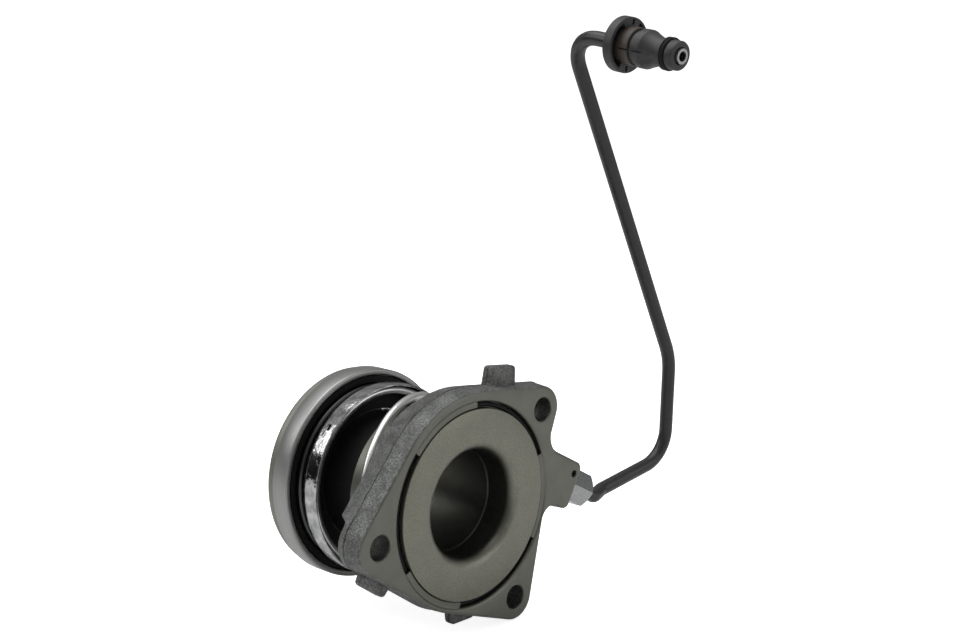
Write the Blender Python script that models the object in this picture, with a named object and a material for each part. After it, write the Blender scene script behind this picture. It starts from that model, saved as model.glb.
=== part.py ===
"""Concentric clutch slave cylinder with release bearing and rigid pressure pipe.

Frame: the origin is where the cylinder axis meets the mounting face.
+Y runs along the axis from the mounting face towards the clutch, +Z is up,
and the mounting face looks towards -Y. All lengths are in metres.
"""
import math

import bmesh
import bpy
from mathutils import Matrix, Vector

# Clearances and cutting allowances
SEAT_GAP = 0.0003
THIN_GAP = 0.0002
EDGE_BREAK = 0.0003
TOOL_OVERRUN = 0.0020
TOOL_ROOT = 0.0030

# Facets on round pieces
ROUND_STEPS = 30
FINE_STEPS = 32
PIPE_SIDES = 10
BORE_SIDES = 6
WIRE_SIDES = 6

# Guide sleeve: face disc and tube in one drawn piece
SLEEVE_BORE_R = 0.01705
SLEEVE_BORE_STEP = 0.00035
SLEEVE_WALL = 0.00155
SLEEVE_STEP_Y = 0.0109
SLEEVE_PAST_RING = 0.0013
DISC_THICKNESS = 0.0024
DISC_CHAMFER = 0.0004
DISC_OVER_NECK = 0.0034
MOUTH_ROUND = 0.0038
BEND_ROUND = 0.0018
SLEEVE_R = SLEEVE_BORE_R + SLEEVE_WALL
SLEEVE_MOUTH_BORE_R = SLEEVE_BORE_R + SLEEVE_BORE_STEP
SLEEVE_CLEAR_R = SLEEVE_R + SEAT_GAP
DISC_FLOOR_Y = DISC_THICKNESS + SEAT_GAP

# Piston and its lip seal
STROKE = 0.0170
PISTON_WALL = 0.0031
PISTON_BACK_GAP = 0.0029
PISTON_BODY_LENGTH = 0.0223
PISTON_NOSE_STEP = 0.0015
PISTON_NOSE_LAND = 0.0003
SEAL_BASE = 0.0014
SEAL_LIP = 0.0020
SEAL_LIP_THICKNESS = 0.0008
PISTON_R = SLEEVE_CLEAR_R + PISTON_WALL
PISTON_NOSE_R = PISTON_R - PISTON_NOSE_STEP
PISTON_START_Y = DISC_FLOOR_Y + PISTON_BACK_GAP + STROKE + SEAL_LIP + SEAL_BASE + SEAT_GAP
PISTON_SHOULDER_Y = PISTON_START_Y + PISTON_BODY_LENGTH
RING_FACE_Y = PISTON_SHOULDER_Y + SEAT_GAP

# Clip on the piston's nose and stop ring on the guide sleeve
RING_FLANGE_THICKNESS = 0.0020
CLIP_THICKNESS = 0.0009
CLIP_RISE = 0.0019
CLIP_GROOVE = 0.0006
CLIP_GAP_ANGLE = math.radians(100.0)
STOP_RING_THICKNESS = 0.0010
STOP_RING_RISE = 0.0017
STOP_RING_GROOVE = 0.0006
STOP_RING_GAP_ANGLE = math.radians(-60.0)
RING_GAP_HALF_ANGLE = math.radians(9.0)
CLIP_R = PISTON_NOSE_R + CLIP_RISE
CLIP_Y = RING_FACE_Y + RING_FLANGE_THICKNESS + SEAT_GAP
PISTON_NOSE_END_Y = CLIP_Y + CLIP_THICKNESS + THIN_GAP + PISTON_NOSE_LAND
STOP_RING_R = SLEEVE_R + STOP_RING_RISE
STOP_RING_Y = PISTON_NOSE_END_Y + SEAT_GAP
SLEEVE_END_Y = STOP_RING_Y + STOP_RING_THICKNESS + SLEEVE_PAST_RING

# Cylinder neck, dust wiper and the seal behind the face disc
NECK_WALL = 0.0050
NECK_PAST_PISTON = 0.0024
NECK_CHAMFER = 0.0008
NECK_FILLET = 0.0006
WIPER_LENGTH = 0.0017
WIPER_WIDTH = 0.0028
WIPER_LIP = 0.0010
SLEEVE_RING_SECTION_R = 0.0009
SLEEVE_RING_LAND = 0.0012
CYLINDER_R = PISTON_R + 2.0 * SEAT_GAP
NECK_R = CYLINDER_R + NECK_WALL
NECK_END_Y = PISTON_START_Y + NECK_PAST_PISTON
WIPER_R = PISTON_R + WIPER_WIDTH
SLEEVE_RING_R = CYLINDER_R + SLEEVE_RING_LAND + SLEEVE_RING_SECTION_R + SEAT_GAP

# Recess and staking around the face disc
FACE_RING_SECTION_R = 0.00075
RECESS_STEP = 0.0007
STAKE_ANGLES = (math.radians(-7.0), math.radians(113.0), math.radians(233.0))
STAKE_HALF_ANGLE = math.radians(25.5)
STAKE_THICKNESS = 0.0007
STAKE_ROOT = 0.0005
DISC_R = NECK_R + DISC_OVER_NECK
RECESS_R = DISC_R + 2.0 * (FACE_RING_SECTION_R + SEAT_GAP)
RECESS_DEPTH = DISC_THICKNESS + RECESS_STEP

# Mounting flange of the housing
FLANGE_DEPTH = 0.0143
SEAT_RISE = 0.0033
SEAT_STEP_MARGIN = 0.0005
RIM_WALL_UPPER = 0.0033
RIM_WALL_LOWER = 0.0016
UNDERCUT_WALL = 0.0011
EAR_REACH = 0.0073
EAR_DEPTH = 0.0092
BOLT_HOLE_R = 0.0040
EAR_ANGLES = (math.radians(38.6), math.radians(185.7), math.radians(297.8))
EAR_RADII = (0.0074, 0.0082, 0.0075)
SPOT_FACE_R = 0.0086
PARTING_PLANE_Y = 0.0070
PARTING_BULGE = 0.0008
FRONT_EDGE_ROUND = 0.0007
REAR_DRAFT = 0.0007
REAR_EDGE_ROUND = 0.0009
BODY_UPPER_R = RECESS_R + RIM_WALL_UPPER
BODY_LOWER_R = RECESS_R + RIM_WALL_LOWER
UNDERCUT_R = RECESS_R + UNDERCUT_WALL
BOLT_CIRCLE_R = RECESS_R + EAR_REACH
SEAT_STEP_R = RECESS_R + SEAT_STEP_MARGIN
SEAT_Y = FLANGE_DEPTH + SEAT_RISE

# Casting lugs on the rim of the flange
LUG_WIDTH = 0.0092
LUG_HEIGHTS = (0.0052, 0.0030, 0.0046)
TOP_LUG_SHARE = 0.533
SIDE_LUG_SHARE = 0.33
LOW_LUG_ANGLE = math.radians(-90.3)
LUG_FRONT_Y = 0.0045
LUG_DEPTH = 0.0050
LUG_TAPER = 0.0012
LUG_ROOT = 0.0025

# Port boss and its drillings
PORT_ANGLE = math.radians(-29.0)
PORT_INSET = 0.0025
BOSS_REACH = 0.0112
BOSS_HALF_UPPER = 0.0069
BOSS_HALF_LOWER = 0.0090
BOSS_CORNER_R = 0.0022
BOSS_FILLET_UPPER = 0.0065
BOSS_FILLET_LOWER = 0.0052
EAR_TO_FILLET = 0.0012
PORT_THREAD_R = 0.0045
PORT_THREAD_DEPTH = 0.0130
PORT_DRILL_R = 0.0017
PORT_DRILL_START = 0.0040
PORT_FACE_MARGIN = 0.00055
PIN_HOLE_R = 0.00125
PIN_HOLE_DEPTH = 0.0024
PIN_HOLE_INSET = 0.0029
PIN_HOLE_OFFSET = 0.0029
PORT_OFFSET = CYLINDER_R - PORT_INSET
BOSS_END = RECESS_R + BOSS_REACH
PORT_DIRECTION = Vector((math.cos(PORT_ANGLE), 0.0, math.sin(PORT_ANGLE)))
PORT_SIDE = Vector((-math.sin(PORT_ANGLE), 0.0, math.cos(PORT_ANGLE)))
PORT_ORIGIN = PORT_SIDE * PORT_OFFSET + Vector((0.0, PARTING_PLANE_Y, 0.0))

# Spring cup, wavy washer and spring seat
WIRE_R = 0.00140
SPRING_NECK_GAP = 0.0006
SPRING_SEAT_MARGIN = 0.0005
CUP_WALL = 0.0008
CUP_DEPTH = 0.0083
CUP_CORNER = 0.0034
CUP_SLOT_WIDTH = 0.0024
CUP_SLOT_LENGTH = 0.0019
CUP_SLOT_SETBACK = 0.0033
CUP_SLOT_ANGLE = math.radians(137.0)
CUP_SLOT_COUNT = 3
SPRING_SEAT_THICKNESS = 0.0025
SPRING_SEAT_NECK_GAP = 0.0005
SPRING_SEAT_FOOT = 0.0004
WASHER_THICKNESS = 0.0003
WASHER_WAVE = 0.0002
WASHER_GAP = 0.00025
WASHER_WAVES = 3
SPRING_HEAD_R = NECK_R + SPRING_NECK_GAP + WIRE_R
SPRING_FOOT_R = SEAT_STEP_R - SPRING_SEAT_MARGIN - WIRE_R
CUP_R = SPRING_HEAD_R + WIRE_R + SEAT_GAP + CUP_WALL
CUP_FLOOR_BACK_Y = RING_FACE_Y - WASHER_THICKNESS - 2.0 * (WASHER_WAVE + WASHER_GAP)
CUP_FLOOR_Y = CUP_FLOOR_BACK_Y - CUP_WALL
CUP_RIM_Y = CUP_FLOOR_BACK_Y - CUP_DEPTH
SPRING_SEAT_Y = CUP_FLOOR_Y - SEAT_GAP - SPRING_SEAT_THICKNESS

# Preload spring
SPRING_END_TURN = math.radians(290.0)
SPRING_RISE_TURN = math.radians(220.0)
SPRING_START = math.radians(118.0)
WIRE_FOOT_Y = SEAT_Y + SEAT_GAP + WIRE_R
WIRE_HEAD_Y = SPRING_SEAT_Y - SEAT_GAP - WIRE_R

# Release bearing
BALL_R = 0.00275
BALL_COUNT = 14
BALL_BEHIND_FLANGE = 0.00125
CLIP_CLEARANCE = 0.00115
RING_BEAD_RISE = 0.0012
BEAD_ROUND = 0.0008
RING_SHOULDER_WALL = 0.0020
RING_SHOULDER_REACH = 0.0019
TRACK_LIP = 0.0008
TRACK_FLAT = 0.0010
OUTER_RING_WALL = 0.0021
OUTER_RING_BACK = 0.0022
OUTER_RING_STEP = 0.0007
OUTER_RING_STEP_SETBACK = 0.0036
OUTER_RING_CORNER = 0.0015
SLEEVE_PASSAGE = 0.0030
CONTACT_FACE_INNER_STEP = 0.0024
CONTACT_FACE_OUTER_STEP = 0.0054
CONTACT_FACE_LIFT = 0.0004
CAGE_WALL = 0.0012
NEAR_SEAL_WIDTH = 0.0021
NEAR_SEAL_THICKNESS = 0.0010
NEAR_SEAL_SETBACK = 0.0004
SEAL_TO_CAGE = 0.00035
FAR_SEAL_WIDTH = 0.0035
FAR_SEAL_THICKNESS = 0.0011
SEAL_DISH = 0.0003
BALL_TRACK_R = BALL_R + SEAT_GAP
BALL_PITCH_R = CLIP_R + CLIP_CLEARANCE + RING_SHOULDER_WALL + TRACK_LIP + BALL_TRACK_R
BALL_Y = RING_FACE_Y + RING_FLANGE_THICKNESS + BALL_BEHIND_FLANGE + BALL_TRACK_R
CAGE_EXTENT = BALL_TRACK_R + THIN_GAP
RING_BEAD_R = BALL_PITCH_R + RING_BEAD_RISE
OUTER_RING_INSIDE_R = RING_BEAD_R + NEAR_SEAL_WIDTH + 2.0 * SEAT_GAP
OUTER_RING_R = OUTER_RING_INSIDE_R + OUTER_RING_WALL
OUTER_RING_HOLE_R = SLEEVE_R + SLEEVE_PASSAGE
OUTER_RING_INSIDE_Y = BALL_Y + BALL_TRACK_R + 2.0 * SEAT_GAP
OUTER_RING_FACE_Y = OUTER_RING_INSIDE_Y + OUTER_RING_BACK
NEAR_SEAL_Y = BALL_Y - CAGE_EXTENT - SEAL_TO_CAGE - NEAR_SEAL_THICKNESS
OUTER_RING_LIP_Y = NEAR_SEAL_Y - NEAR_SEAL_SETBACK

# Tube nut
NUT_ACROSS_FLATS = 0.0110
NUT_HEX_LENGTH = 0.0115
NUT_CHAMFER = 0.0007
NUT_SHANK_CHAMFER = 0.0005
NUT_CORNER_R = NUT_ACROSS_FLATS / math.sqrt(3.0)
PORT_FACE_R = NUT_CORNER_R + PORT_FACE_MARGIN

# Pressure pipe: a lead out of the nut, then the runs from bend to bend
PIPE_R = 0.002375
PIPE_BORE_R = 0.0016
PIPE_FLARE_INSET = 0.0008
PIPE_FLARE_LENGTH = 0.0015
PIPE_PAST_NUT = 0.0083
PIPE_RUNS = (
    Vector((0.00593, 0.0018, 0.00074)),
    Vector((0.0336, -0.0019, 0.0058)),
    Vector((-0.0012, -0.0021, 0.0371)),
    Vector((-0.0610, -0.0038, 0.1157)),
    Vector((-0.0023, -0.0467, -0.0063)),
)
PIPE_BEND_RADII = (0.0032, 0.0050, 0.0120, 0.0230, 0.0118)
PIPE_CLEAR_R = PIPE_R + SEAT_GAP
PIPE_FLARE_R = PORT_THREAD_R - PIPE_FLARE_INSET
PIPE_LEAD = BOSS_END + SEAT_GAP + NUT_HEX_LENGTH + PIPE_PAST_NUT

# Connector at the free end of the pipe, measured back from the pipe's tip
PIPE_TIP_PROUD = 0.0008
NOSE_R = 0.0045
NOSE_LENGTH = 0.0028
NOSE_CHAMFER = 0.0005
CONNECTOR_RING_SECTION_R = 0.00065
CONNECTOR_RING_R = 0.0051
BARREL_LIP_R = 0.00505
BARREL_LIP_LENGTH = 0.0006
BARREL_NECK_R = 0.0044
BARREL_NECK_LENGTH = 0.0028
BARREL_TAPER = 0.0042
BARREL_R = 0.0060
BARREL_LENGTH = 0.0025
SPIGOT_R = CONNECTOR_RING_R - 2.0 * CONNECTOR_RING_SECTION_R - THIN_GAP

# Bulkhead bush behind the connector
BUSH_NECK_R = 0.0053
BUSH_NECK_LENGTH = 0.0013
BUSH_HUB_R = 0.0060
BUSH_HUB_LENGTH = 0.0042
BUSH_FLANGE_R = 0.0086
BUSH_FLANGE_THICKNESS = 0.0038
BUSH_EDGE_ROUND = 0.0006
BUSH_RECESS_R = 0.0077
BUSH_RECESS_DEPTH = 0.0026
BUSH_RECESS_HALF_ANGLE = math.radians(62.0)
BUSH_NOTCH_WIDTH = 0.0009
BUSH_NOTCH_DEPTH = 0.0020
BUSH_NOTCH_ANGLES = (math.radians(85.0), math.radians(268.0))
SLIT_ANGLE = math.radians(185.0)
SLIT_WIDTH = 0.0004
SLIT_DEPTH = 0.0007
SLIT_SETBACK = 0.0010


def clear_scene():
    """Remove every object that the file opened with."""
    for item in list(bpy.data.objects):
        bpy.data.objects.remove(item, do_unlink=True)


def make_material(name, colour, roughness, metallic):
    """Return a Principled material with the piece's own finish."""
    material = bpy.data.materials.new(name)
    material.use_nodes = True
    shader = material.node_tree.nodes["Principled BSDF"]
    shader.inputs["Base Color"].default_value = (*colour, 1.0)
    shader.inputs["Roughness"].default_value = roughness
    shader.inputs["Metallic"].default_value = metallic
    return material


def make_object(name, mesh_data, material=None, sharp_angle=math.radians(35.0)):
    """Turn a bmesh into a smooth-shaded object in the scene."""
    mesh = bpy.data.meshes.new(name)
    mesh_data.to_mesh(mesh)
    mesh_data.free()
    mesh.shade_smooth()
    mesh.set_sharp_from_angle(angle=sharp_angle)
    item = bpy.data.objects.new(name, mesh)
    bpy.context.scene.collection.objects.link(item)
    if material is not None:
        mesh.materials.append(material)
    return item


def close_solid(mesh_data):
    """Merge coincident points, drop loose edges and face every side outwards."""
    bmesh.ops.remove_doubles(mesh_data, verts=mesh_data.verts, dist=1e-7)
    loose = [edge for edge in mesh_data.edges if not edge.link_faces]
    bmesh.ops.delete(mesh_data, geom=loose, context="EDGES")
    bmesh.ops.recalc_face_normals(mesh_data, faces=mesh_data.faces)


def turned_mesh(profile, steps=ROUND_STEPS):
    """Spin a closed outline of (radius, y) points about the Y axis."""
    mesh_data = bmesh.new()
    points = [mesh_data.verts.new((radius, y, 0.0)) for radius, y in profile]
    edges = [mesh_data.edges.new((points[i - 1], points[i])) for i in range(len(points))]
    bmesh.ops.spin(
        mesh_data,
        geom=points + edges,
        cent=(0.0, 0.0, 0.0),
        axis=(0.0, 1.0, 0.0),
        dvec=(0.0, 0.0, 0.0),
        angle=2.0 * math.pi,
        steps=steps,
        use_merge=True,
        use_duplicate=False,
    )
    close_solid(mesh_data)
    return mesh_data


def turned(name, profile, material=None, steps=ROUND_STEPS):
    """Make a turned piece from a closed outline of (radius, y) points."""
    return make_object(name, turned_mesh(profile, steps), material)


def round_section(radius, y, section_r, sides=6):
    """Outline of a ring with a round section."""
    turns = [2.0 * math.pi * i / sides for i in range(sides)]
    return [(radius + section_r * math.cos(a), y + section_r * math.sin(a)) for a in turns]


def arc(centre, radius, start, end, steps):
    """Points along an arc in the (radius, y) plane, both ends included."""
    turns = [start + (end - start) * i / steps for i in range(steps + 1)]
    return [(centre[0] + radius * math.cos(a), centre[1] + radius * math.sin(a)) for a in turns]


def lofted_mesh(rings):
    """Join equal rings of points side by side and cap both ends."""
    mesh_data = bmesh.new()
    loops = [[mesh_data.verts.new(point) for point in ring] for ring in rings]
    count = len(loops[0])
    for lower, upper in zip(loops, loops[1:]):
        for i in range(count):
            j = (i + 1) % count
            mesh_data.faces.new((lower[i], lower[j], upper[j], upper[i]))
    mesh_data.faces.new(loops[0][::-1])
    mesh_data.faces.new(loops[-1])
    close_solid(mesh_data)
    return mesh_data


def boolean(item, tool, operation="DIFFERENCE"):
    """Cut a hidden tool out of a piece, or add it to the piece."""
    tool.hide_render = True
    tool.display_type = "WIRE"
    modifier = item.modifiers.new(operation.title() + " " + tool.name, "BOOLEAN")
    modifier.object = tool
    modifier.operation = operation
    modifier.solver = "EXACT"


def rod_tool(name, start, end, radius, steps=24):
    """A plain cylinder between two points, for cutting round holes."""
    start = Vector(start)
    end = Vector(end)
    mesh_data = bmesh.new()
    bmesh.ops.create_cone(
        mesh_data,
        cap_ends=True,
        segments=steps,
        radius1=radius,
        radius2=radius,
        depth=(end - start).length,
    )
    turn = (end - start).to_track_quat("Z", "Y").to_matrix().to_4x4()
    place = Matrix.Translation((start + end) / 2.0) @ turn
    bmesh.ops.transform(mesh_data, matrix=place, verts=mesh_data.verts)
    close_solid(mesh_data)
    return make_object(name, mesh_data)


def block_tool(name, corners_low, corners_high, matrix=Matrix.Identity(4)):
    """A box between two corners, turned and moved by a matrix."""
    low = Vector(corners_low)
    high = Vector(corners_high)
    mesh_data = bmesh.new()
    bmesh.ops.create_cube(mesh_data, size=1.0)
    size = Matrix.Diagonal((high - low).to_4d())
    size[3][3] = 1.0
    place = matrix @ Matrix.Translation((low + high) / 2.0) @ size
    bmesh.ops.transform(mesh_data, matrix=place, verts=mesh_data.verts)
    close_solid(mesh_data)
    return make_object(name, mesh_data)


def polar(radius, angle):
    """A point in the plane of the flange, X to the right and Z up."""
    return Vector((radius * math.cos(angle), radius * math.sin(angle)))


def port_point(along, across):
    """A point in the flange plane, given along and across the port axis."""
    spot = PORT_DIRECTION * along + PORT_SIDE * across
    return Vector((spot.x, spot.z))


def flange_circles():
    """Circles that the flange outline wraps, anticlockwise from the upper ear.

    Each is (centre, radius, side): side is 1 where the outline goes round the
    outside of the circle and -1 where it hugs it as a hollow fillet.
    """
    ears = [polar(BOLT_CIRCLE_R, angle) for angle in EAR_ANGLES]
    centre = Vector((0.0, 0.0))
    boss_low = PORT_OFFSET - BOSS_HALF_LOWER
    boss_high = PORT_OFFSET + BOSS_HALF_UPPER
    low_across = boss_low - BOSS_FILLET_LOWER
    low_reach = UNDERCUT_R + BOSS_FILLET_LOWER
    low_along = math.sqrt(low_reach ** 2 - low_across ** 2)
    ear_axis = Vector((PORT_DIRECTION.x, PORT_DIRECTION.z))
    ear_side = Vector((PORT_SIDE.x, PORT_SIDE.z))
    high_across = boss_high + BOSS_FILLET_UPPER
    high_reach = EAR_RADII[0] + BOSS_FILLET_UPPER + EAR_TO_FILLET
    high_drop = ears[0].dot(ear_side) - high_across
    high_along = ears[0].dot(ear_axis) + math.sqrt(high_reach ** 2 - high_drop ** 2)
    corner_along = BOSS_END - BOSS_CORNER_R
    return [
        (ears[0], EAR_RADII[0], 1),
        (centre, BODY_UPPER_R, 1),
        (ears[1], EAR_RADII[1], 1),
        (centre, BODY_LOWER_R, 1),
        (ears[2], EAR_RADII[2], 1),
        (port_point(low_along, low_across), BOSS_FILLET_LOWER, -1),
        (port_point(corner_along, boss_low + BOSS_CORNER_R), BOSS_CORNER_R, 1),
        (port_point(corner_along, boss_high - BOSS_CORNER_R), BOSS_CORNER_R, 1),
        (port_point(high_along, high_across), BOSS_FILLET_UPPER, -1),
    ]


def tangent_heading(first, second):
    """Heading of the straight run that touches two circles in turn."""
    reach = second[0] - first[0]
    rise = second[1] * second[2] - first[1] * first[2]
    return math.atan2(reach.y, reach.x) - math.asin(rise / reach.length)


def touch_point(circle, heading):
    """Where a straight run with this heading touches a circle."""
    signed = circle[1] * circle[2]
    normal = Vector((-math.sin(heading), math.cos(heading)))
    return circle[0] - normal * signed


def flange_outline(grow=0.0):
    """Points of the flange outline, moved outwards by grow."""
    circles = flange_circles()
    count = len(circles)
    headings = [tangent_heading(circles[i], circles[(i + 1) % count]) for i in range(count)]
    points = []
    for i, (centre, radius, side) in enumerate(circles):
        start = headings[i - 1]
        turn = (headings[i] - start) % (2.0 * math.pi)
        if side < 0:
            turn -= 2.0 * math.pi
        steps = max(3, round(abs(turn) * (2.5 + 160.0 * radius)))
        grown = (centre, radius + grow * side, side)
        for k in range(steps + 1):
            points.append(touch_point(grown, start + turn * k / steps))
    return points


def outline_ring(y, grow):
    """The flange outline as a ring of points at one depth."""
    return [(p.x, y, p.y) for p in flange_outline(grow)]


def flange_run(index, share):
    """A point and outward direction on a straight run of the outline."""
    circles = [(c, r + PARTING_BULGE * side, side) for c, r, side in flange_circles()]
    first = circles[index]
    second = circles[(index + 1) % len(circles)]
    heading = tangent_heading(first, second)
    start = touch_point(first, heading)
    end = touch_point(second, heading)
    outward = Vector((math.sin(heading), -math.cos(heading)))
    return start.lerp(end, share), outward


def lug_tool(name, spot, outward, height):
    """A tapered casting lug that stands on the flange rim."""
    along = Vector((-outward.y, outward.x))
    rings = []
    stages = ((-LUG_ROOT, 0.0), (height - LUG_TAPER, LUG_TAPER / 2.0), (height, LUG_TAPER))
    for lift, narrow in stages:
        half = LUG_WIDTH / 2.0 - narrow
        front = LUG_FRONT_Y + narrow / 2.0
        back = LUG_FRONT_Y + LUG_DEPTH - narrow / 2.0
        ring = []
        for side, y in ((-half, front), (half, front), (half, back), (-half, back)):
            flat = spot + outward * lift + along * side
            ring.append((flat.x, y, flat.y))
        rings.append(ring)
    return make_object(name, lofted_mesh(rings))


def sector_tool(name, inner_r, outer_r, low_y, high_y, middle, half_angle):
    """A curved bar that follows part of a circle about the axis."""
    steps = round(2.0 * half_angle / math.radians(10.0))
    mesh_data = bmesh.new()
    rings = []
    for k in range(steps + 1):
        angle = middle - half_angle + 2.0 * half_angle * k / steps
        inner = polar(inner_r, angle)
        outer = polar(outer_r, angle)
        corners = ((inner, low_y), (outer, low_y), (outer, high_y), (inner, high_y))
        rings.append([mesh_data.verts.new((p.x, y, p.y)) for p, y in corners])
    for first, second in zip(rings, rings[1:]):
        for i in range(4):
            j = (i + 1) % 4
            mesh_data.faces.new((first[i], first[j], second[j], second[i]))
    mesh_data.faces.new(rings[0])
    mesh_data.faces.new(rings[-1])
    close_solid(mesh_data)
    return make_object(name, mesh_data)


def add_flange_features(housing):
    """Add the lugs and cut the bolt holes, spot faces and pin hole."""
    places = [flange_run(0, TOP_LUG_SHARE), flange_run(2, SIDE_LUG_SHARE)]
    low_spot = polar(BODY_LOWER_R + PARTING_BULGE, LOW_LUG_ANGLE)
    places.append((low_spot, polar(1.0, LOW_LUG_ANGLE)))
    for number, ((spot, outward), height) in enumerate(zip(places, LUG_HEIGHTS), start=1):
        lug = lug_tool("lug_tool_%d" % number, spot, outward, height)
        boolean(housing, lug, "UNION")
    for number, angle in enumerate(EAR_ANGLES, start=1):
        spot = polar(BOLT_CIRCLE_R, angle)
        front = (spot.x, -TOOL_OVERRUN, spot.y)
        back = (spot.x, FLANGE_DEPTH + TOOL_OVERRUN, spot.y)
        floor = (spot.x, EAR_DEPTH, spot.y)
        far = (spot.x, SEAT_Y + TOOL_OVERRUN, spot.y)
        boolean(housing, rod_tool("spot_face_tool_%d" % number, floor, far, SPOT_FACE_R, 32))
        boolean(housing, rod_tool("bolt_hole_tool_%d" % number, front, back, BOLT_HOLE_R))
    pin = port_point(BOSS_END - PIN_HOLE_INSET, PORT_OFFSET + PIN_HOLE_OFFSET)
    pin_start = (pin.x, -TOOL_OVERRUN, pin.y)
    pin_end = (pin.x, PIN_HOLE_DEPTH, pin.y)
    boolean(housing, rod_tool("pin_hole_tool", pin_start, pin_end, PIN_HOLE_R, 16))


def place_on_port(item):
    """Turn a piece made about the Y axis onto the port's axis."""
    item.location = PORT_ORIGIN
    item.rotation_mode = "QUATERNION"
    item.rotation_quaternion = PORT_DIRECTION.to_track_quat("Y", "Z")


def add_port(housing):
    """Face the boss and bore the port through into the pressure chamber."""
    thread_floor = BOSS_END - PORT_THREAD_DEPTH
    outside = BOSS_END + TOOL_ROOT
    profile = [
        (0.0, PORT_DRILL_START),
        (PORT_DRILL_R, PORT_DRILL_START),
        (PORT_DRILL_R, thread_floor),
        (PORT_THREAD_R, thread_floor),
        (PORT_THREAD_R, BOSS_END),
        (PORT_FACE_R, BOSS_END),
        (PORT_FACE_R, outside),
        (0.0, outside),
    ]
    tool = turned("port_tool", profile, steps=20)
    place_on_port(tool)
    boolean(housing, tool)


def make_housing(material):
    """Cast housing: flange, ears, boss, lugs, spring seat, neck and bore."""
    rings = [
        outline_ring(0.0, -FRONT_EDGE_ROUND),
        outline_ring(FRONT_EDGE_ROUND * 0.4, -FRONT_EDGE_ROUND * 0.4),
        outline_ring(FRONT_EDGE_ROUND * 1.2, 0.0),
        outline_ring(PARTING_PLANE_Y, PARTING_BULGE),
        outline_ring(FLANGE_DEPTH - REAR_EDGE_ROUND, -REAR_DRAFT),
        outline_ring(FLANGE_DEPTH, -REAR_DRAFT - REAR_EDGE_ROUND),
    ]
    housing = make_object("housing", lofted_mesh(rings), material)
    core_r = SLEEVE_RING_R
    core_y = FLANGE_DEPTH - TOOL_ROOT
    core_bore_r = CYLINDER_R - SLEEVE_RING_LAND
    rear = [
        (core_r, core_y),
        (SEAT_STEP_R, core_y),
        (SEAT_STEP_R, SEAT_Y),
        (NECK_R + NECK_FILLET, SEAT_Y),
        (NECK_R, SEAT_Y + NECK_FILLET),
        (NECK_R, NECK_END_Y - NECK_CHAMFER),
        (NECK_R - NECK_CHAMFER, NECK_END_Y),
        (core_bore_r, NECK_END_Y),
        (core_bore_r, core_y),
    ]
    boolean(housing, turned("neck_tool", rear), "UNION")
    add_flange_features(housing)
    add_port(housing)
    groove = SLEEVE_RING_SECTION_R + SEAT_GAP
    ring_floor = DISC_FLOOR_Y + 2.0 * SLEEVE_RING_SECTION_R + SEAT_GAP
    wiper_y = NECK_END_Y - WIPER_LENGTH - SEAT_GAP
    wiper_r = WIPER_R + SEAT_GAP
    bore = [
        (0.0, -TOOL_OVERRUN),
        (RECESS_R, -TOOL_OVERRUN),
        (RECESS_R, RECESS_DEPTH),
        (DISC_R, RECESS_DEPTH),
        (DISC_R, DISC_FLOOR_Y),
        (SLEEVE_RING_R + groove, DISC_FLOOR_Y),
        (SLEEVE_RING_R + groove, ring_floor),
        (SLEEVE_RING_R - groove, ring_floor),
        (SLEEVE_RING_R - groove, DISC_FLOOR_Y),
        (CYLINDER_R, DISC_FLOOR_Y),
        (CYLINDER_R, wiper_y),
        (wiper_r, wiper_y),
        (wiper_r, NECK_END_Y + TOOL_OVERRUN),
        (0.0, NECK_END_Y + TOOL_OVERRUN),
    ]
    boolean(housing, turned("bore_tool", bore))
    stake_front = THIN_GAP / 2.0
    for number, angle in enumerate(STAKE_ANGLES, start=1):
        stake = sector_tool(
            "stake_tool_%d" % number,
            DISC_R + SEAT_GAP,
            RECESS_R + STAKE_ROOT,
            stake_front,
            stake_front + STAKE_THICKNESS,
            angle,
            STAKE_HALF_ANGLE,
        )
        boolean(housing, stake, "UNION")
    return housing


def make_guide_sleeve(material):
    """Drawn steel sleeve: the face disc and the tube the piston slides on."""
    mouth_centre = (SLEEVE_MOUTH_BORE_R + MOUTH_ROUND, MOUTH_ROUND)
    bend_centre = (SLEEVE_R + BEND_ROUND, DISC_THICKNESS + BEND_ROUND)
    groove_low = STOP_RING_Y - THIN_GAP
    groove_high = STOP_RING_Y + STOP_RING_THICKNESS + THIN_GAP
    groove_r = SLEEVE_R - STOP_RING_GROOVE
    profile = arc(mouth_centre, MOUTH_ROUND, math.radians(-90.0), math.radians(-180.0), 4)
    profile += [
        (SLEEVE_MOUTH_BORE_R, SLEEVE_STEP_Y),
        (SLEEVE_BORE_R, SLEEVE_STEP_Y + SLEEVE_BORE_STEP),
        (SLEEVE_BORE_R, SLEEVE_END_Y),
        (SLEEVE_R - EDGE_BREAK, SLEEVE_END_Y),
        (SLEEVE_R, SLEEVE_END_Y - EDGE_BREAK),
        (SLEEVE_R, groove_high),
        (groove_r, groove_high),
        (groove_r, groove_low),
        (SLEEVE_R, groove_low),
    ]
    profile += arc(bend_centre, BEND_ROUND, math.radians(180.0), math.radians(270.0), 3)
    profile += [
        (DISC_R, DISC_THICKNESS),
        (DISC_R, DISC_CHAMFER),
        (DISC_R - DISC_CHAMFER, 0.0),
    ]
    return turned("guide_sleeve", profile, material, FINE_STEPS)


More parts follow.
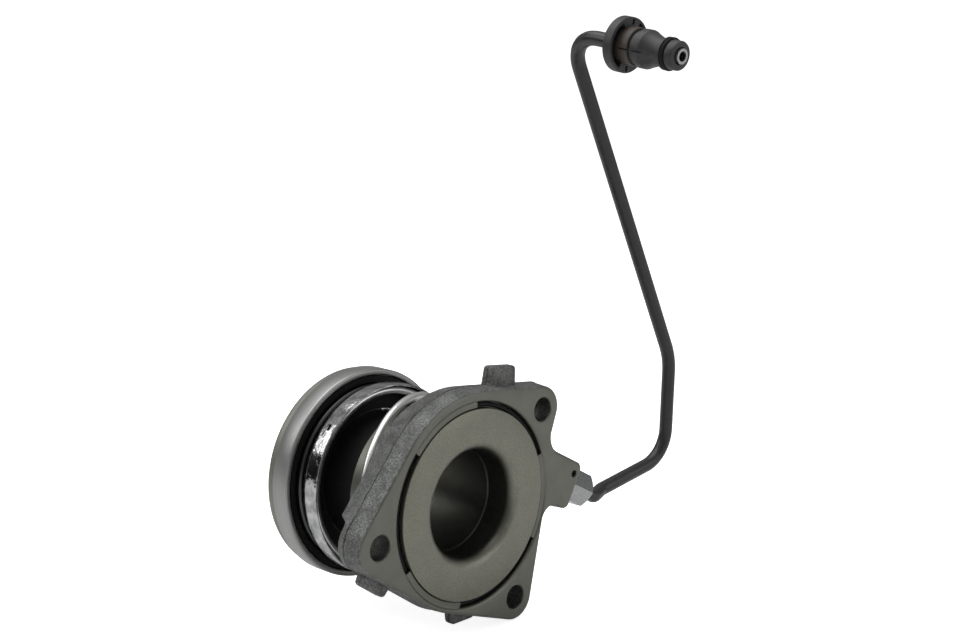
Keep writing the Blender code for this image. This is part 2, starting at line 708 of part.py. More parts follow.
def make_housing_seals(rubber, steel):
    """Static seals of the housing, the wiper and the sleeve's stop ring."""
    face_r = (DISC_R + RECESS_R) / 2.0
    face_y = RECESS_DEPTH - SEAT_GAP - FACE_RING_SECTION_R
    face_section = round_section(face_r, face_y, FACE_RING_SECTION_R)
    turned("face_o_ring", face_section, rubber)
    sleeve_y = DISC_THICKNESS + 2.0 * SEAT_GAP + SLEEVE_RING_SECTION_R
    sleeve_section = round_section(SLEEVE_RING_R, sleeve_y, SLEEVE_RING_SECTION_R)
    turned("sleeve_o_ring", sleeve_section, rubber)
    wiper_start = NECK_END_Y - WIPER_LENGTH
    wiper_end = NECK_END_Y - SEAT_GAP
    wiper = [
        (PISTON_R + SEAT_GAP, wiper_end),
        (PISTON_R + SEAT_GAP, wiper_end - 0.4 * WIPER_LIP),
        (PISTON_R + WIPER_LIP, wiper_start),
        (WIPER_R, wiper_start),
        (WIPER_R, wiper_end),
        (WIPER_R - 0.8 * WIPER_LIP, wiper_end),
        (PISTON_R + 1.2 * WIPER_LIP, wiper_end - 0.5 * WIPER_LIP),
    ]
    turned("dust_wiper", wiper, rubber)
    radii = (SLEEVE_R - STOP_RING_GROOVE + THIN_GAP, STOP_RING_R)
    split_ring("stop_ring", radii, STOP_RING_Y, STOP_RING_THICKNESS, STOP_RING_GAP_ANGLE, steel)


def split_ring(name, radii, y, thickness, gap_angle, material):
    """A flat spring ring with a gap, as it snaps into a groove."""
    ring = sector_tool(
        name,
        radii[0],
        radii[1],
        y,
        y + thickness,
        gap_angle + math.pi,
        math.pi - RING_GAP_HALF_ANGLE,
    )
    ring.data.materials.append(material)
    return ring


def make_piston(plastic, rubber, steel):
    """Ring piston, its lip seal and the clip that holds the bearing on it."""
    groove_r = PISTON_NOSE_R - CLIP_GROOVE
    groove_low = CLIP_Y - THIN_GAP
    groove_high = CLIP_Y + CLIP_THICKNESS + THIN_GAP
    profile = [
        (SLEEVE_CLEAR_R, PISTON_START_Y),
        (PISTON_R, PISTON_START_Y),
        (PISTON_R, PISTON_SHOULDER_Y),
        (PISTON_NOSE_R, PISTON_SHOULDER_Y),
        (PISTON_NOSE_R, groove_low),
        (groove_r, groove_low),
        (groove_r, groove_high),
        (PISTON_NOSE_R, groove_high),
        (PISTON_NOSE_R, PISTON_NOSE_END_Y),
        (SLEEVE_CLEAR_R, PISTON_NOSE_END_Y),
    ]
    turned("piston", profile, plastic)
    radii = (groove_r + THIN_GAP, CLIP_R)
    split_ring("piston_clip", radii, CLIP_Y, CLIP_THICKNESS, CLIP_GAP_ANGLE, steel)
    base_y = PISTON_START_Y - SEAT_GAP
    lip_y = base_y - SEAL_BASE
    tip_y = lip_y - SEAL_LIP
    outer_r = CYLINDER_R - SEAT_GAP
    seal = [
        (SLEEVE_CLEAR_R, base_y),
        (SLEEVE_CLEAR_R, tip_y),
        (SLEEVE_CLEAR_R + SEAL_LIP_THICKNESS, tip_y),
        (SLEEVE_CLEAR_R + 1.3 * SEAL_LIP_THICKNESS, lip_y),
        (outer_r - 1.3 * SEAL_LIP_THICKNESS, lip_y),
        (outer_r - SEAL_LIP_THICKNESS, tip_y),
        (outer_r, tip_y),
        (outer_r, base_y),
    ]
    turned("piston_seal", seal, rubber)


def spring_point(turn):
    """Centre of the spring wire after a turn from its first end."""
    rise_end = SPRING_END_TURN + SPRING_RISE_TURN
    share = min(max((turn - SPRING_END_TURN) / (rise_end - SPRING_END_TURN), 0.0), 1.0)
    eased = share * share * (3.0 - 2.0 * share)
    radius = SPRING_FOOT_R + (SPRING_HEAD_R - SPRING_FOOT_R) * eased
    y = WIRE_FOOT_Y + (WIRE_HEAD_Y - WIRE_FOOT_Y) * eased
    spot = polar(radius, SPRING_START - turn)
    return Vector((spot.x, y, spot.y))


def sweep_rings(path, radius, sides):
    """Rings of points square to a path, carried along without twist."""
    rings = []
    ahead = (path[1] - path[0]).normalized()
    side = ahead.orthogonal().normalized()
    for i, spot in enumerate(path):
        before = path[max(i - 1, 0)]
        after = path[min(i + 1, len(path) - 1)]
        ahead = (after - before).normalized()
        side = (side - ahead * side.dot(ahead)).normalized()
        up = ahead.cross(side)
        turns = [2.0 * math.pi * k / sides for k in range(sides)]
        rings.append([spot + (side * math.cos(a) + up * math.sin(a)) * radius for a in turns])
    return rings


def make_preload_spring(material):
    """Two-coil preload spring: a flat end turn at each end and one rise."""
    whole = 2.0 * SPRING_END_TURN + SPRING_RISE_TURN
    count = round(whole / math.radians(12.0))
    path = [spring_point(whole * i / count) for i in range(count + 1)]
    wire = sweep_rings(path, WIRE_R, WIRE_SIDES)
    return make_object("preload_spring", lofted_mesh(wire), material)


def make_spring_cup(polished):
    """Pressed cup that carries the spring and the bearing's inner ring."""
    corner_outer = (CUP_R - CUP_CORNER, CUP_FLOOR_BACK_Y - CUP_CORNER)
    inner_corner = CUP_CORNER - CUP_WALL
    hole_r = PISTON_R + SEAT_GAP
    profile = [(hole_r, CUP_FLOOR_Y)]
    profile += arc(corner_outer, inner_corner, math.radians(90.0), 0.0, 4)
    profile += [
        (CUP_R - CUP_WALL, CUP_RIM_Y + CUP_WALL / 4.0),
        (CUP_R - CUP_WALL * 0.75, CUP_RIM_Y),
        (CUP_R - CUP_WALL / 4.0, CUP_RIM_Y),
        (CUP_R, CUP_RIM_Y + CUP_WALL / 4.0),
    ]
    profile += arc(corner_outer, CUP_CORNER, 0.0, math.radians(90.0), 4)
    profile += [(hole_r, CUP_FLOOR_BACK_Y)]
    cup = turned("spring_cup", profile, polished)
    for number in range(CUP_SLOT_COUNT):
        angle = CUP_SLOT_ANGLE + 2.0 * math.pi * number / CUP_SLOT_COUNT
        turn = Matrix.Rotation(-angle, 4, "Y")
        middle_y = CUP_RIM_Y + CUP_SLOT_SETBACK
        half_length = CUP_SLOT_LENGTH / 2.0
        half_width = CUP_SLOT_WIDTH / 2.0
        low = (CUP_R - 3.0 * CUP_WALL, middle_y - half_length, -half_width)
        high = (CUP_R + CUP_WALL, middle_y + half_length, half_width)
        boolean(cup, block_tool("cup_slot_tool_%d" % (number + 1), low, high, turn))
    return cup


def make_spring_seat(plastic):
    """Dished plastic ring between the spring's head turn and the cup."""
    back_y = CUP_FLOOR_Y - SEAT_GAP
    outer_r = CUP_R - CUP_WALL - SEAT_GAP
    corner_y = CUP_FLOOR_BACK_Y - CUP_CORNER
    foot_r = CUP_R - CUP_CORNER + THIN_GAP
    hole_r = PISTON_R + 3.0 * SEAT_GAP
    dish_r = NECK_R + SPRING_SEAT_NECK_GAP
    profile = [
        (dish_r, SPRING_SEAT_Y),
        (outer_r, SPRING_SEAT_Y),
        (outer_r, max(corner_y, SPRING_SEAT_Y + THIN_GAP)),
        (foot_r, back_y),
        (hole_r, back_y),
        (hole_r, back_y - SPRING_SEAT_FOOT),
        (dish_r, back_y - 1.5 * SPRING_SEAT_FOOT),
    ]
    return turned("spring_seat", profile, plastic)


def make_centring_washer(steel):
    """Wavy spring washer that lets the bearing centre itself."""
    middle = (CUP_FLOOR_BACK_Y + RING_FACE_Y) / 2.0
    inner_r = PISTON_R + SEAT_GAP
    outer_r = CUP_R - CUP_CORNER
    low = middle - WASHER_THICKNESS / 2.0
    high = middle + WASHER_THICKNESS / 2.0
    section = [(inner_r, low), (outer_r, low), (outer_r, high), (inner_r, high)]
    mesh_data = turned_mesh(section, ROUND_STEPS)
    for vert in mesh_data.verts:
        angle = math.atan2(vert.co.z, vert.co.x)
        vert.co.y += WASHER_WAVE * math.sin(WASHER_WAVES * angle)
    return make_object("centring_washer", mesh_data, steel)


def make_bearing_inner_ring(steel):
    """Inner ring with its flange, ball track and shoulder."""
    centre = (BALL_PITCH_R, BALL_Y)
    flange_back = RING_FACE_Y + RING_FLANGE_THICKNESS
    hole_r = PISTON_NOSE_R + SEAT_GAP
    shoulder_r = BALL_PITCH_R - BALL_TRACK_R - TRACK_LIP
    shoulder_inner_r = shoulder_r - RING_SHOULDER_WALL
    shoulder_y = BALL_Y + RING_SHOULDER_REACH
    track = arc(centre, BALL_TRACK_R, math.radians(175.0), math.radians(275.0), 6)
    profile = [
        (hole_r, RING_FACE_Y),
        (RING_BEAD_R - BEAD_ROUND, RING_FACE_Y),
        (RING_BEAD_R - BEAD_ROUND / 4.0, RING_FACE_Y + EDGE_BREAK),
        (RING_BEAD_R, RING_FACE_Y + 3.0 * EDGE_BREAK),
        (RING_BEAD_R, track[-1][1]),
    ]
    profile += track[::-1]
    profile += [
        (shoulder_r, shoulder_y),
        (shoulder_inner_r, shoulder_y),
        (shoulder_inner_r, flange_back + BEAD_ROUND),
        (shoulder_inner_r - 2.0 * EDGE_BREAK, flange_back),
        (hole_r, flange_back),
    ]
    return turned("bearing_inner_ring", profile, steel)


def make_bearing_outer_ring(steel):
    """Outer ring: the wall, ball track and the face that meets the clutch."""
    centre = (BALL_PITCH_R, BALL_Y)
    wall_r = OUTER_RING_INSIDE_R
    lip_y = OUTER_RING_LIP_Y
    face_y = OUTER_RING_FACE_Y
    step_y = face_y - OUTER_RING_STEP_SETBACK
    nose_r = OUTER_RING_R - OUTER_RING_STEP
    corner = (nose_r - OUTER_RING_CORNER, face_y - OUTER_RING_CORNER)
    track_start = math.radians(-18.0)
    track_out_y = BALL_Y + BALL_TRACK_R * math.sin(track_start)
    profile = [
        (wall_r, track_out_y),
        (wall_r, lip_y + 2.0 * EDGE_BREAK),
        (wall_r + NEAR_SEAL_SETBACK, lip_y),
        (OUTER_RING_R - 2.0 * EDGE_BREAK, lip_y),
        (OUTER_RING_R, lip_y + 2.0 * EDGE_BREAK),
        (OUTER_RING_R, step_y - EDGE_BREAK),
        (nose_r, step_y),
    ]
    profile += arc(corner, OUTER_RING_CORNER, 0.0, math.radians(90.0), 4)
    profile += [
        (OUTER_RING_R - CONTACT_FACE_OUTER_STEP, face_y + CONTACT_FACE_LIFT),
        (OUTER_RING_HOLE_R + CONTACT_FACE_INNER_STEP, face_y + CONTACT_FACE_LIFT),
        (OUTER_RING_HOLE_R + 2.0 * CONTACT_FACE_LIFT, face_y - CONTACT_FACE_LIFT),
        (OUTER_RING_HOLE_R, face_y - 3.0 * CONTACT_FACE_LIFT),
        (OUTER_RING_HOLE_R, OUTER_RING_INSIDE_Y),
        (BALL_PITCH_R - TRACK_FLAT, OUTER_RING_INSIDE_Y),
    ]
    profile += arc(centre, BALL_TRACK_R, math.radians(88.0), track_start, 6)
    return turned("bearing_outer_ring", profile, steel, FINE_STEPS)


def make_bearing_seals(rubber):
    """Seals that the outer ring carries on its two open sides."""
    near_inner_r = RING_BEAD_R + SEAT_GAP
    near_outer_r = near_inner_r + NEAR_SEAL_WIDTH
    near = [
        (near_inner_r, NEAR_SEAL_Y + SEAL_DISH),
        (near_outer_r, NEAR_SEAL_Y),
        (near_outer_r, NEAR_SEAL_Y + NEAR_SEAL_THICKNESS),
        (near_inner_r, NEAR_SEAL_Y + NEAR_SEAL_THICKNESS),
    ]
    turned("bearing_near_seal", near, rubber)
    far_back_y = OUTER_RING_INSIDE_Y - SEAT_GAP
    far_y = far_back_y - FAR_SEAL_THICKNESS
    far_inner_r = OUTER_RING_HOLE_R + SEAT_GAP
    far_outer_r = far_inner_r + FAR_SEAL_WIDTH
    far = [
        (far_inner_r, far_y + SEAL_DISH),
        (far_outer_r, far_y),
        (far_outer_r, far_back_y),
        (far_inner_r, far_back_y),
    ]
    turned("bearing_far_seal", far, rubber)


def make_cage_and_balls(plastic, steel):
    """Conical cage and the balls that sit in its pockets."""
    half_wall = CAGE_WALL / 2.0 * math.sqrt(0.5)
    reach = CAGE_EXTENT - half_wall
    profile = [
        (BALL_PITCH_R + reach - half_wall, BALL_Y - reach - half_wall),
        (BALL_PITCH_R + reach + half_wall, BALL_Y - reach + half_wall),
        (BALL_PITCH_R - reach + half_wall, BALL_Y + reach + half_wall),
        (BALL_PITCH_R - reach - half_wall, BALL_Y + reach - half_wall),
    ]
    cage = turned("bearing_cage", profile, plastic, 2 * BALL_COUNT)
    pockets = bmesh.new()
    for number in range(BALL_COUNT):
        angle = 2.0 * math.pi * number / BALL_COUNT
        spot = polar(BALL_PITCH_R, angle)
        centre = Matrix.Translation((spot.x, BALL_Y, spot.y))
        lean = Vector((math.cos(angle), 1.0, math.sin(angle))).to_track_quat("Z", "Y")
        bmesh.ops.create_cone(
            pockets,
            cap_ends=True,
            segments=8,
            radius1=BALL_TRACK_R,
            radius2=BALL_TRACK_R,
            depth=3.0 * CAGE_WALL,
            matrix=centre @ lean.to_matrix().to_4x4(),
        )
        ball = bmesh.new()
        bmesh.ops.create_icosphere(ball, subdivisions=2, radius=BALL_R, matrix=centre)
        make_object("ball_%02d" % (number + 1), ball, steel, math.pi)
    close_solid(pockets)
    boolean(cage, make_object("cage_pocket_tool", pockets))
    return cage


def make_tube_nut(zinc):
    """Tube nut: threaded shank in the boss and a hexagon outside it."""
    hex_start = BOSS_END + SEAT_GAP
    hex_end = hex_start + NUT_HEX_LENGTH
    shank_start = BOSS_END - PORT_THREAD_DEPTH + 2.0 * SEAT_GAP + PIPE_FLARE_LENGTH
    shank_r = PORT_THREAD_R - SEAT_GAP
    shank = [
        (PIPE_CLEAR_R, shank_start),
        (shank_r - NUT_SHANK_CHAMFER, shank_start),
        (shank_r, shank_start + NUT_SHANK_CHAMFER),
        (shank_r, hex_end + EDGE_BREAK),
        (PIPE_CLEAR_R, hex_end + EDGE_BREAK),
    ]
    nut = turned("tube_nut", shank, zinc, 24)
    hexagon_bore = shank_r - NUT_SHANK_CHAMFER
    hexagon = [
        (hexagon_bore, hex_start),
        (NUT_ACROSS_FLATS / 2.0, hex_start),
        (NUT_CORNER_R, hex_start + NUT_CHAMFER / 2.0),
        (NUT_CORNER_R, hex_end - NUT_CHAMFER),
        (NUT_ACROSS_FLATS / 2.0 - THIN_GAP, hex_end),
        (hexagon_bore, hex_end),
    ]
    boolean(nut, turned("nut_hexagon_tool", hexagon, steps=6), "UNION")
    bpy.data.objects["nut_hexagon_tool"].parent = nut
    place_on_port(nut)
    return nut


def pipe_stops():
    """The pipe's start, the corners that its bends round off and its tip."""
    start = PORT_ORIGIN + PORT_DIRECTION * (BOSS_END - PORT_THREAD_DEPTH + SEAT_GAP)
    stops = [start, PORT_ORIGIN + PORT_DIRECTION * PIPE_LEAD]
    for run in PIPE_RUNS:
        stops.append(stops[-1] + run)
    return stops


def pipe_route():
    """Centre line of the pipe: straight runs joined by round bends."""
    stops = pipe_stops()
    route = [stops[0], stops[0] + PORT_DIRECTION * PIPE_FLARE_LENGTH]
    for before, corner, after, radius in zip(stops, stops[1:], stops[2:], PIPE_BEND_RADII):
        back = (before - corner).normalized()
        ahead = (after - corner).normalized()
        turn = math.pi - back.angle(ahead)
        cut = radius * math.tan(turn / 2.0)
        inward = (back + ahead).normalized()
        centre = corner + inward * (radius / math.cos(turn / 2.0))
        spoke = corner + back * cut - centre
        axis = back.cross(spoke).normalized()
        steps = max(4, round(turn / math.radians(12.0)))
        for k in range(steps + 1):
            route.append(centre + Matrix.Rotation(turn * k / steps, 3, axis) @ spoke)
    route.append(stops[-1])
    return route


def make_pressure_pipe(coated):
    """Rigid coated steel pipe, open at both ends, with a flare in the port."""
    route = pipe_route()
    outer = sweep_rings(route, PIPE_R, PIPE_SIDES)
    flare = PIPE_FLARE_R / PIPE_R
    outer[0] = [route[0] + (point - route[0]) * flare for point in outer[0]]
    pipe = make_object("pressure_pipe", lofted_mesh(outer), coated)
    outlet = route[-1] + (route[-1] - route[-2]).normalized() * TOOL_OVERRUN
    extended = [route[0] * 2.0 - route[1], *route, outlet]
    bore = lofted_mesh(sweep_rings(extended, PIPE_BORE_R, BORE_SIDES))
    boolean(pipe, make_object("pipe_bore_tool", bore))
    return pipe


def connector_axis():
    """Empty at the pipe's tip whose +Y points back along the connector."""
    axis = bpy.data.objects.new("connector_axis", None)
    bpy.context.scene.collection.objects.link(axis)
    axis.location = pipe_stops()[-1]
    axis.rotation_mode = "QUATERNION"
    axis.rotation_quaternion = (-PIPE_RUNS[-1]).to_track_quat("Y", "Z")
    return axis


def slit(piece, number, axis, outer_r, low_y, high_y):
    """Cut the narrow mould slit along one side of a connector piece."""
    low = (outer_r - SLIT_DEPTH, low_y, -SLIT_WIDTH / 2.0)
    high = (outer_r + SLIT_SETBACK, high_y, SLIT_WIDTH / 2.0)
    tool = block_tool("slit_tool_%d" % number, low, high, Matrix.Rotation(-SLIT_ANGLE, 4, "Y"))
    boolean(piece, tool)
    tool.parent = axis


def make_connector(plastic, rubber):
    """Nose, ring and slotted barrel on the pipe's free end."""
    axis = connector_axis()
    bore = PIPE_CLEAR_R
    nose_end = PIPE_TIP_PROUD + NOSE_LENGTH
    nose = [
        (bore, PIPE_TIP_PROUD),
        (NOSE_R - NOSE_CHAMFER, PIPE_TIP_PROUD),
        (NOSE_R, PIPE_TIP_PROUD + NOSE_CHAMFER),
        (NOSE_R, nose_end),
        (bore, nose_end),
    ]
    ring_y = nose_end + THIN_GAP + CONNECTOR_RING_SECTION_R
    ring_r = CONNECTOR_RING_R - CONNECTOR_RING_SECTION_R
    lip_start = ring_y + CONNECTOR_RING_SECTION_R + THIN_GAP
    lip_end = lip_start + BARREL_LIP_LENGTH
    neck_end = lip_end + BARREL_NECK_LENGTH
    taper_end = neck_end + BARREL_TAPER
    barrel_end = taper_end + BARREL_LENGTH
    barrel = [
        (bore, nose_end + SEAT_GAP),
        (SPIGOT_R, nose_end + SEAT_GAP),
        (SPIGOT_R, lip_start),
        (BARREL_LIP_R, lip_start),
        (BARREL_LIP_R, lip_end),
        (BARREL_NECK_R, lip_end + EDGE_BREAK),
        (BARREL_NECK_R, neck_end),
        (BARREL_R - EDGE_BREAK, taper_end - 2.0 * EDGE_BREAK),
        (BARREL_R, taper_end),
        (BARREL_R, barrel_end - EDGE_BREAK),
        (BARREL_R - EDGE_BREAK, barrel_end),
        (bore, barrel_end),
    ]
    ring = round_section(ring_r, ring_y, CONNECTOR_RING_SECTION_R)
    pieces = [
        turned("connector_nose", nose, plastic, 20),
        turned("connector_o_ring", ring, rubber, 20),
        turned("connector_barrel", barrel, plastic, 20),
    ]
    slit(pieces[-1], 1, axis, BARREL_R, neck_end + SLIT_SETBACK, barrel_end + SLIT_SETBACK)
    pieces.append(make_bulkhead_bush(plastic, axis, barrel_end + SEAT_GAP))
    for piece in pieces:
        piece.parent = axis


def make_bulkhead_bush(plastic, axis, start):
    """Flanged bush that holds the pipe in the wall of the bell housing."""
    bore = PIPE_CLEAR_R
    hub_start = start + BUSH_NECK_LENGTH
    rim = hub_start + BUSH_HUB_LENGTH
    end = rim + BUSH_FLANGE_THICKNESS
    profile = [
        (bore, start),
        (BUSH_NECK_R, start),
        (BUSH_NECK_R, hub_start),
        (BUSH_HUB_R - EDGE_BREAK, hub_start),
        (BUSH_HUB_R, hub_start + EDGE_BREAK),
        (BUSH_HUB_R, rim),
        (BUSH_FLANGE_R - EDGE_BREAK, rim),
        (BUSH_FLANGE_R, rim + EDGE_BREAK),
        (BUSH_FLANGE_R, end - BUSH_EDGE_ROUND),
        (BUSH_FLANGE_R - BUSH_EDGE_ROUND, end),
        (bore, end),
    ]
    bush = turned("bulkhead_bush", profile, plastic, 24)
    floor = rim + BUSH_RECESS_DEPTH
    for number, angle in enumerate((0.0, math.pi), start=1):
        recess = sector_tool(
            "bush_recess_tool_%d" % number,
            BUSH_HUB_R - THIN_GAP / 2.0,
            BUSH_RECESS_R,
            rim - SLIT_SETBACK,
            floor,
            angle,
            BUSH_RECESS_HALF_ANGLE,
        )
        boolean(bush, recess)
        recess.parent = axis
    half = BUSH_NOTCH_WIDTH / 2.0
    low = (BUSH_HUB_R + EDGE_BREAK, rim - SLIT_SETBACK, -half)
    high = (BUSH_RECESS_R + EDGE_BREAK, rim + BUSH_NOTCH_DEPTH, half)
    for number, angle in enumerate(BUSH_NOTCH_ANGLES, start=1):
        turn = Matrix.Rotation(-angle, 4, "Y")
        notch = block_tool("bush_notch_tool_%d" % number, low, high, turn)
        boolean(bush, notch)
        notch.parent = axis
    slit(bush, 2, axis, BUSH_HUB_R, start - SLIT_SETBACK, rim - SLIT_SETBACK / 2.0)
    return bush


def main():
    """Build every piece in its place."""
    clear_scene()
    cast = make_material("cast_aluminium", (0.30, 0.31, 0.30), 0.55, 1.0)
    sleeve_steel = make_material("sleeve_steel", (0.36, 0.36, 0.31), 0.38, 1.0)
    spring_steel = make_material("spring_steel", (0.66, 0.63, 0.56), 0.28, 1.0)
    polished = make_material("polished_steel", (0.62, 0.62, 0.63), 0.10, 1.0)
    ring_steel = make_material("ring_steel", (0.55, 0.55, 0.55), 0.30, 1.0)
    zinc = make_material("zinc_plate", (0.72, 0.73, 0.74), 0.25, 1.0)
    coated = make_material("black_coating", (0.018, 0.018, 0.019), 0.42, 0.0)
    rubber = make_material("black_rubber", (0.012, 0.012, 0.012), 0.70, 0.0)
    plastic = make_material("black_plastic", (0.020, 0.020, 0.021), 0.50, 0.0)
    cage_plastic = make_material("cage_plastic", (0.26, 0.20, 0.10), 0.55, 0.0)
    make_housing(cast)
    make_guide_sleeve(sleeve_steel)
    make_housing_seals(rubber, ring_steel)
    make_piston(plastic, rubber, ring_steel)
    make_preload_spring(spring_steel)
    make_spring_cup(polished)
    make_spring_seat(plastic)
    make_centring_washer(spring_steel)
    make_bearing_inner_ring(ring_steel)
    make_bearing_outer_ring(ring_steel)
    make_bearing_seals(rubber)
    make_cage_and_balls(cage_plastic, ring_steel)
    make_tube_nut(zinc)
    make_pressure_pipe(coated)
    make_connector(plastic, rubber)


main()
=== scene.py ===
"""Dressed concentric clutch slave cylinder, built over its CAD frame.

Frame: the cylinder axis is Y, from the mounting face towards the clutch, and
Z is up. Every piece keeps its object at the origin, with its place in its mesh.
All lengths are in metres.
"""
import math

import bpy
from mathutils import Matrix, Vector


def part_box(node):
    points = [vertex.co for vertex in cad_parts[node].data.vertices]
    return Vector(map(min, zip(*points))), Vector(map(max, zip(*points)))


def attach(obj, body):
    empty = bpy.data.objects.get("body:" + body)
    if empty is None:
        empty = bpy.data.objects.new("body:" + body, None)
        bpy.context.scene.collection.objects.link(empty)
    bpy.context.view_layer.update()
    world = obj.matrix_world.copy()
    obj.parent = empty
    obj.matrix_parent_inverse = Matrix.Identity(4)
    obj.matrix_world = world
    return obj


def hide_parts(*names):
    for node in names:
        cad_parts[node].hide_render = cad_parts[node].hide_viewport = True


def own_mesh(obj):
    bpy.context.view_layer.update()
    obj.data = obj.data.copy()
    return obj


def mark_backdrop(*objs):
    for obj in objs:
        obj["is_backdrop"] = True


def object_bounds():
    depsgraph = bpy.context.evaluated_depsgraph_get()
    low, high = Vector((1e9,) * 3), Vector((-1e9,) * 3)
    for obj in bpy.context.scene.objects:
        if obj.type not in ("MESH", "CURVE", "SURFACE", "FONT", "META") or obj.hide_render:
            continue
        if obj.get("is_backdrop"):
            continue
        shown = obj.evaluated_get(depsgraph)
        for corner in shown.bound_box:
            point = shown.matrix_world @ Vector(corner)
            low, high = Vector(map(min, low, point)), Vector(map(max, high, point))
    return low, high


bl_info = {
    "name": "Clutch Slave Cylinder",
    "version": (1, 0, 0),
    "blender": (4, 5, 0),
    "location": "3D View > Sidebar > Slave Cylinder",
    "description": "Builds the dressed pieces of a concentric clutch slave cylinder",
    "category": "Add Mesh",
}

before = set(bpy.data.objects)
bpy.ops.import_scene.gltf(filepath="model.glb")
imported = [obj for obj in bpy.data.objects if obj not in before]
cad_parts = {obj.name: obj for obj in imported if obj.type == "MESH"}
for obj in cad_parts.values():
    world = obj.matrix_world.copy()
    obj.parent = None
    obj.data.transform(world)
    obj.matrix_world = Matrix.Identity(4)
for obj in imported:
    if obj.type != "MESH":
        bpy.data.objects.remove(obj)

# Places of the frame that the dressed pieces start from
SLEEVE_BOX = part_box("guide_sleeve")
CUP_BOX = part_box("spring_cup")
OUTER_RING_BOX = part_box("bearing_outer_ring")
PISTON_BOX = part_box("piston")

# Outline of the mounting flange
BOLT_CIRCLE_R = 0.0404
BOLT_HOLE_R = 0.0040
EAR_ANGLES = (math.radians(38.6), math.radians(185.7), math.radians(297.8))
EAR_RADII = (0.0074, 0.0082, 0.0075)
EAR_DEPTH = 0.0092
SPOT_FACE_R = 0.0086
PARTING_PLANE_Y = 0.0070
PARTING_BULGE = 0.0008
SEAM_Y = 0.0067
LOW_LUG_ANGLE = math.radians(-90.3)
LUG_SIZES = ((0.0059, 0.0124), (0.0030, 0.0120), (0.0046, 0.0106))
LUG_ROOT = 0.0025
STAKE_ANGLES = (math.radians(-7.0), math.radians(113.0), math.radians(233.0))
STAKE_HALF_ANGLE = math.radians(25.5)

# Port boss
PORT_ANGLE = math.radians(-29.0)
PORT_DIRECTION = Vector((math.cos(PORT_ANGLE), 0.0, math.sin(PORT_ANGLE)))
PORT_SIDE = Vector((-math.sin(PORT_ANGLE), 0.0, math.cos(PORT_ANGLE)))
PORT_OFFSET = 0.0201
PORT_ORIGIN = PORT_SIDE * PORT_OFFSET + Vector((0.0, 0.0070, 0.0))
BOSS_END = 0.0443
BOSS_HALF_UPPER = 0.0069
BOSS_HALF_LOWER = 0.0090
BOSS_CORNER_R = 0.0022
LOWER_FILLET_R = 0.0052
UPPER_FILLET_R = 0.0065
NUT_LENGTH = 0.0115
NUT_ACROSS_FLATS = 0.0110

# Preload spring, spring cup and bearing
SPRING_FOOT_R = 0.0317
SPRING_HEAD_R = 0.0296
SPRING_FOOT_Y = 0.0193
SPRING_HEAD_Y = 0.0424
SPRING_WIRE_R = 0.0014
SPRING_START = 118.0
CUP_FLOOR_Y = 0.0469
CUP_SLOT_START = 137.0
BALL_TRACK = (0.0294, 0.0552)
BALL_TRACK_R = 0.00305

# Route of the pressure pipe
PIPE_LEAD = 0.0644
PIPE_CORNERS = (
    Vector((0.0720, 0.0088, -0.0129)),
    Vector((0.1056, 0.0069, -0.0071)),
    Vector((0.1044, 0.0048, 0.0300)),
    Vector((0.0434, 0.0010, 0.1457)),
)
PIPE_BEND_RADII = (0.0032, 0.0050, 0.0120, 0.0230, 0.0118)
PIPE_TIP = Vector((0.0411, -0.0457, 0.1394))
PIPE_START = 0.0316
PIPE_R = 0.002375
PIPE_BORE_R = 0.00155
PIPE_CLEARANCE = 0.0003
CONNECTOR_SLIT_ANGLE = math.radians(185.0)

# Camera of the photograph
CAMERA_PLACE = Vector((-0.3439, -0.33696, 0.1567))
CAMERA_RIGHT = Vector((0.69764, -0.71648, 0.0))
CAMERA_UP = Vector((0.14183, 0.13806, 0.98026))
CAMERA_AHEAD = Vector((0.70233, 0.68381, -0.19793))

# Studio
LIT_POINT = Vector((0.01, 0.02, 0.03))
ROOM_GREYS = ((0.0, 0.30), (0.10, 0.16), (0.35, 0.26), (1.0, 0.45))


class Housing_Sizes(bpy.types.PropertyGroup):
    """Sizes of the cast housing."""

    flange_depth: bpy.props.FloatProperty(
        name="Flange depth",
        description="Depth of the mounting flange from its machined face",
        default=0.0143,
        unit="LENGTH",
        subtype="DISTANCE",
    )
    body_upper_r: bpy.props.FloatProperty(
        name="Upper rim radius",
        description="Radius of the flange rim between the upper and left ears",
        default=0.0364,
        unit="LENGTH",
        subtype="DISTANCE",
    )
    body_lower_r: bpy.props.FloatProperty(
        name="Lower rim radius",
        description="Radius of the flange rim between the left and lower ears",
        default=0.0347,
        unit="LENGTH",
        subtype="DISTANCE",
    )
    neck_r: bpy.props.FloatProperty(
        name="Neck radius",
        description="Radius of the cylinder neck behind the flange",
        default=0.0276,
        unit="LENGTH",
        subtype="DISTANCE",
    )


class Finish_Colours(bpy.types.PropertyGroup):
    """Colours of the finishes."""

    cast: bpy.props.FloatVectorProperty(
        name="Cast aluminium",
        description="Colour of the cast skin of the housing",
        default=(0.195, 0.20, 0.193),
        size=3,
        min=0.0,
        max=1.0,
        subtype="COLOR",
    )
    machined: bpy.props.FloatVectorProperty(
        name="Machined face",
        description="Colour of the housing where it is machined",
        default=(0.145, 0.149, 0.127),
        size=3,
        min=0.0,
        max=1.0,
        subtype="COLOR",
    )
    sleeve: bpy.props.FloatVectorProperty(
        name="Sleeve steel",
        description="Colour of the drawn guide sleeve",
        default=(0.255, 0.255, 0.215),
        size=3,
        min=0.0,
        max=1.0,
        subtype="COLOR",
    )
    ring: bpy.props.FloatVectorProperty(
        name="Bearing steel",
        description="Colour of the ground bearing rings",
        default=(0.44, 0.44, 0.435),
        size=3,
        min=0.0,
        max=1.0,
        subtype="COLOR",
    )


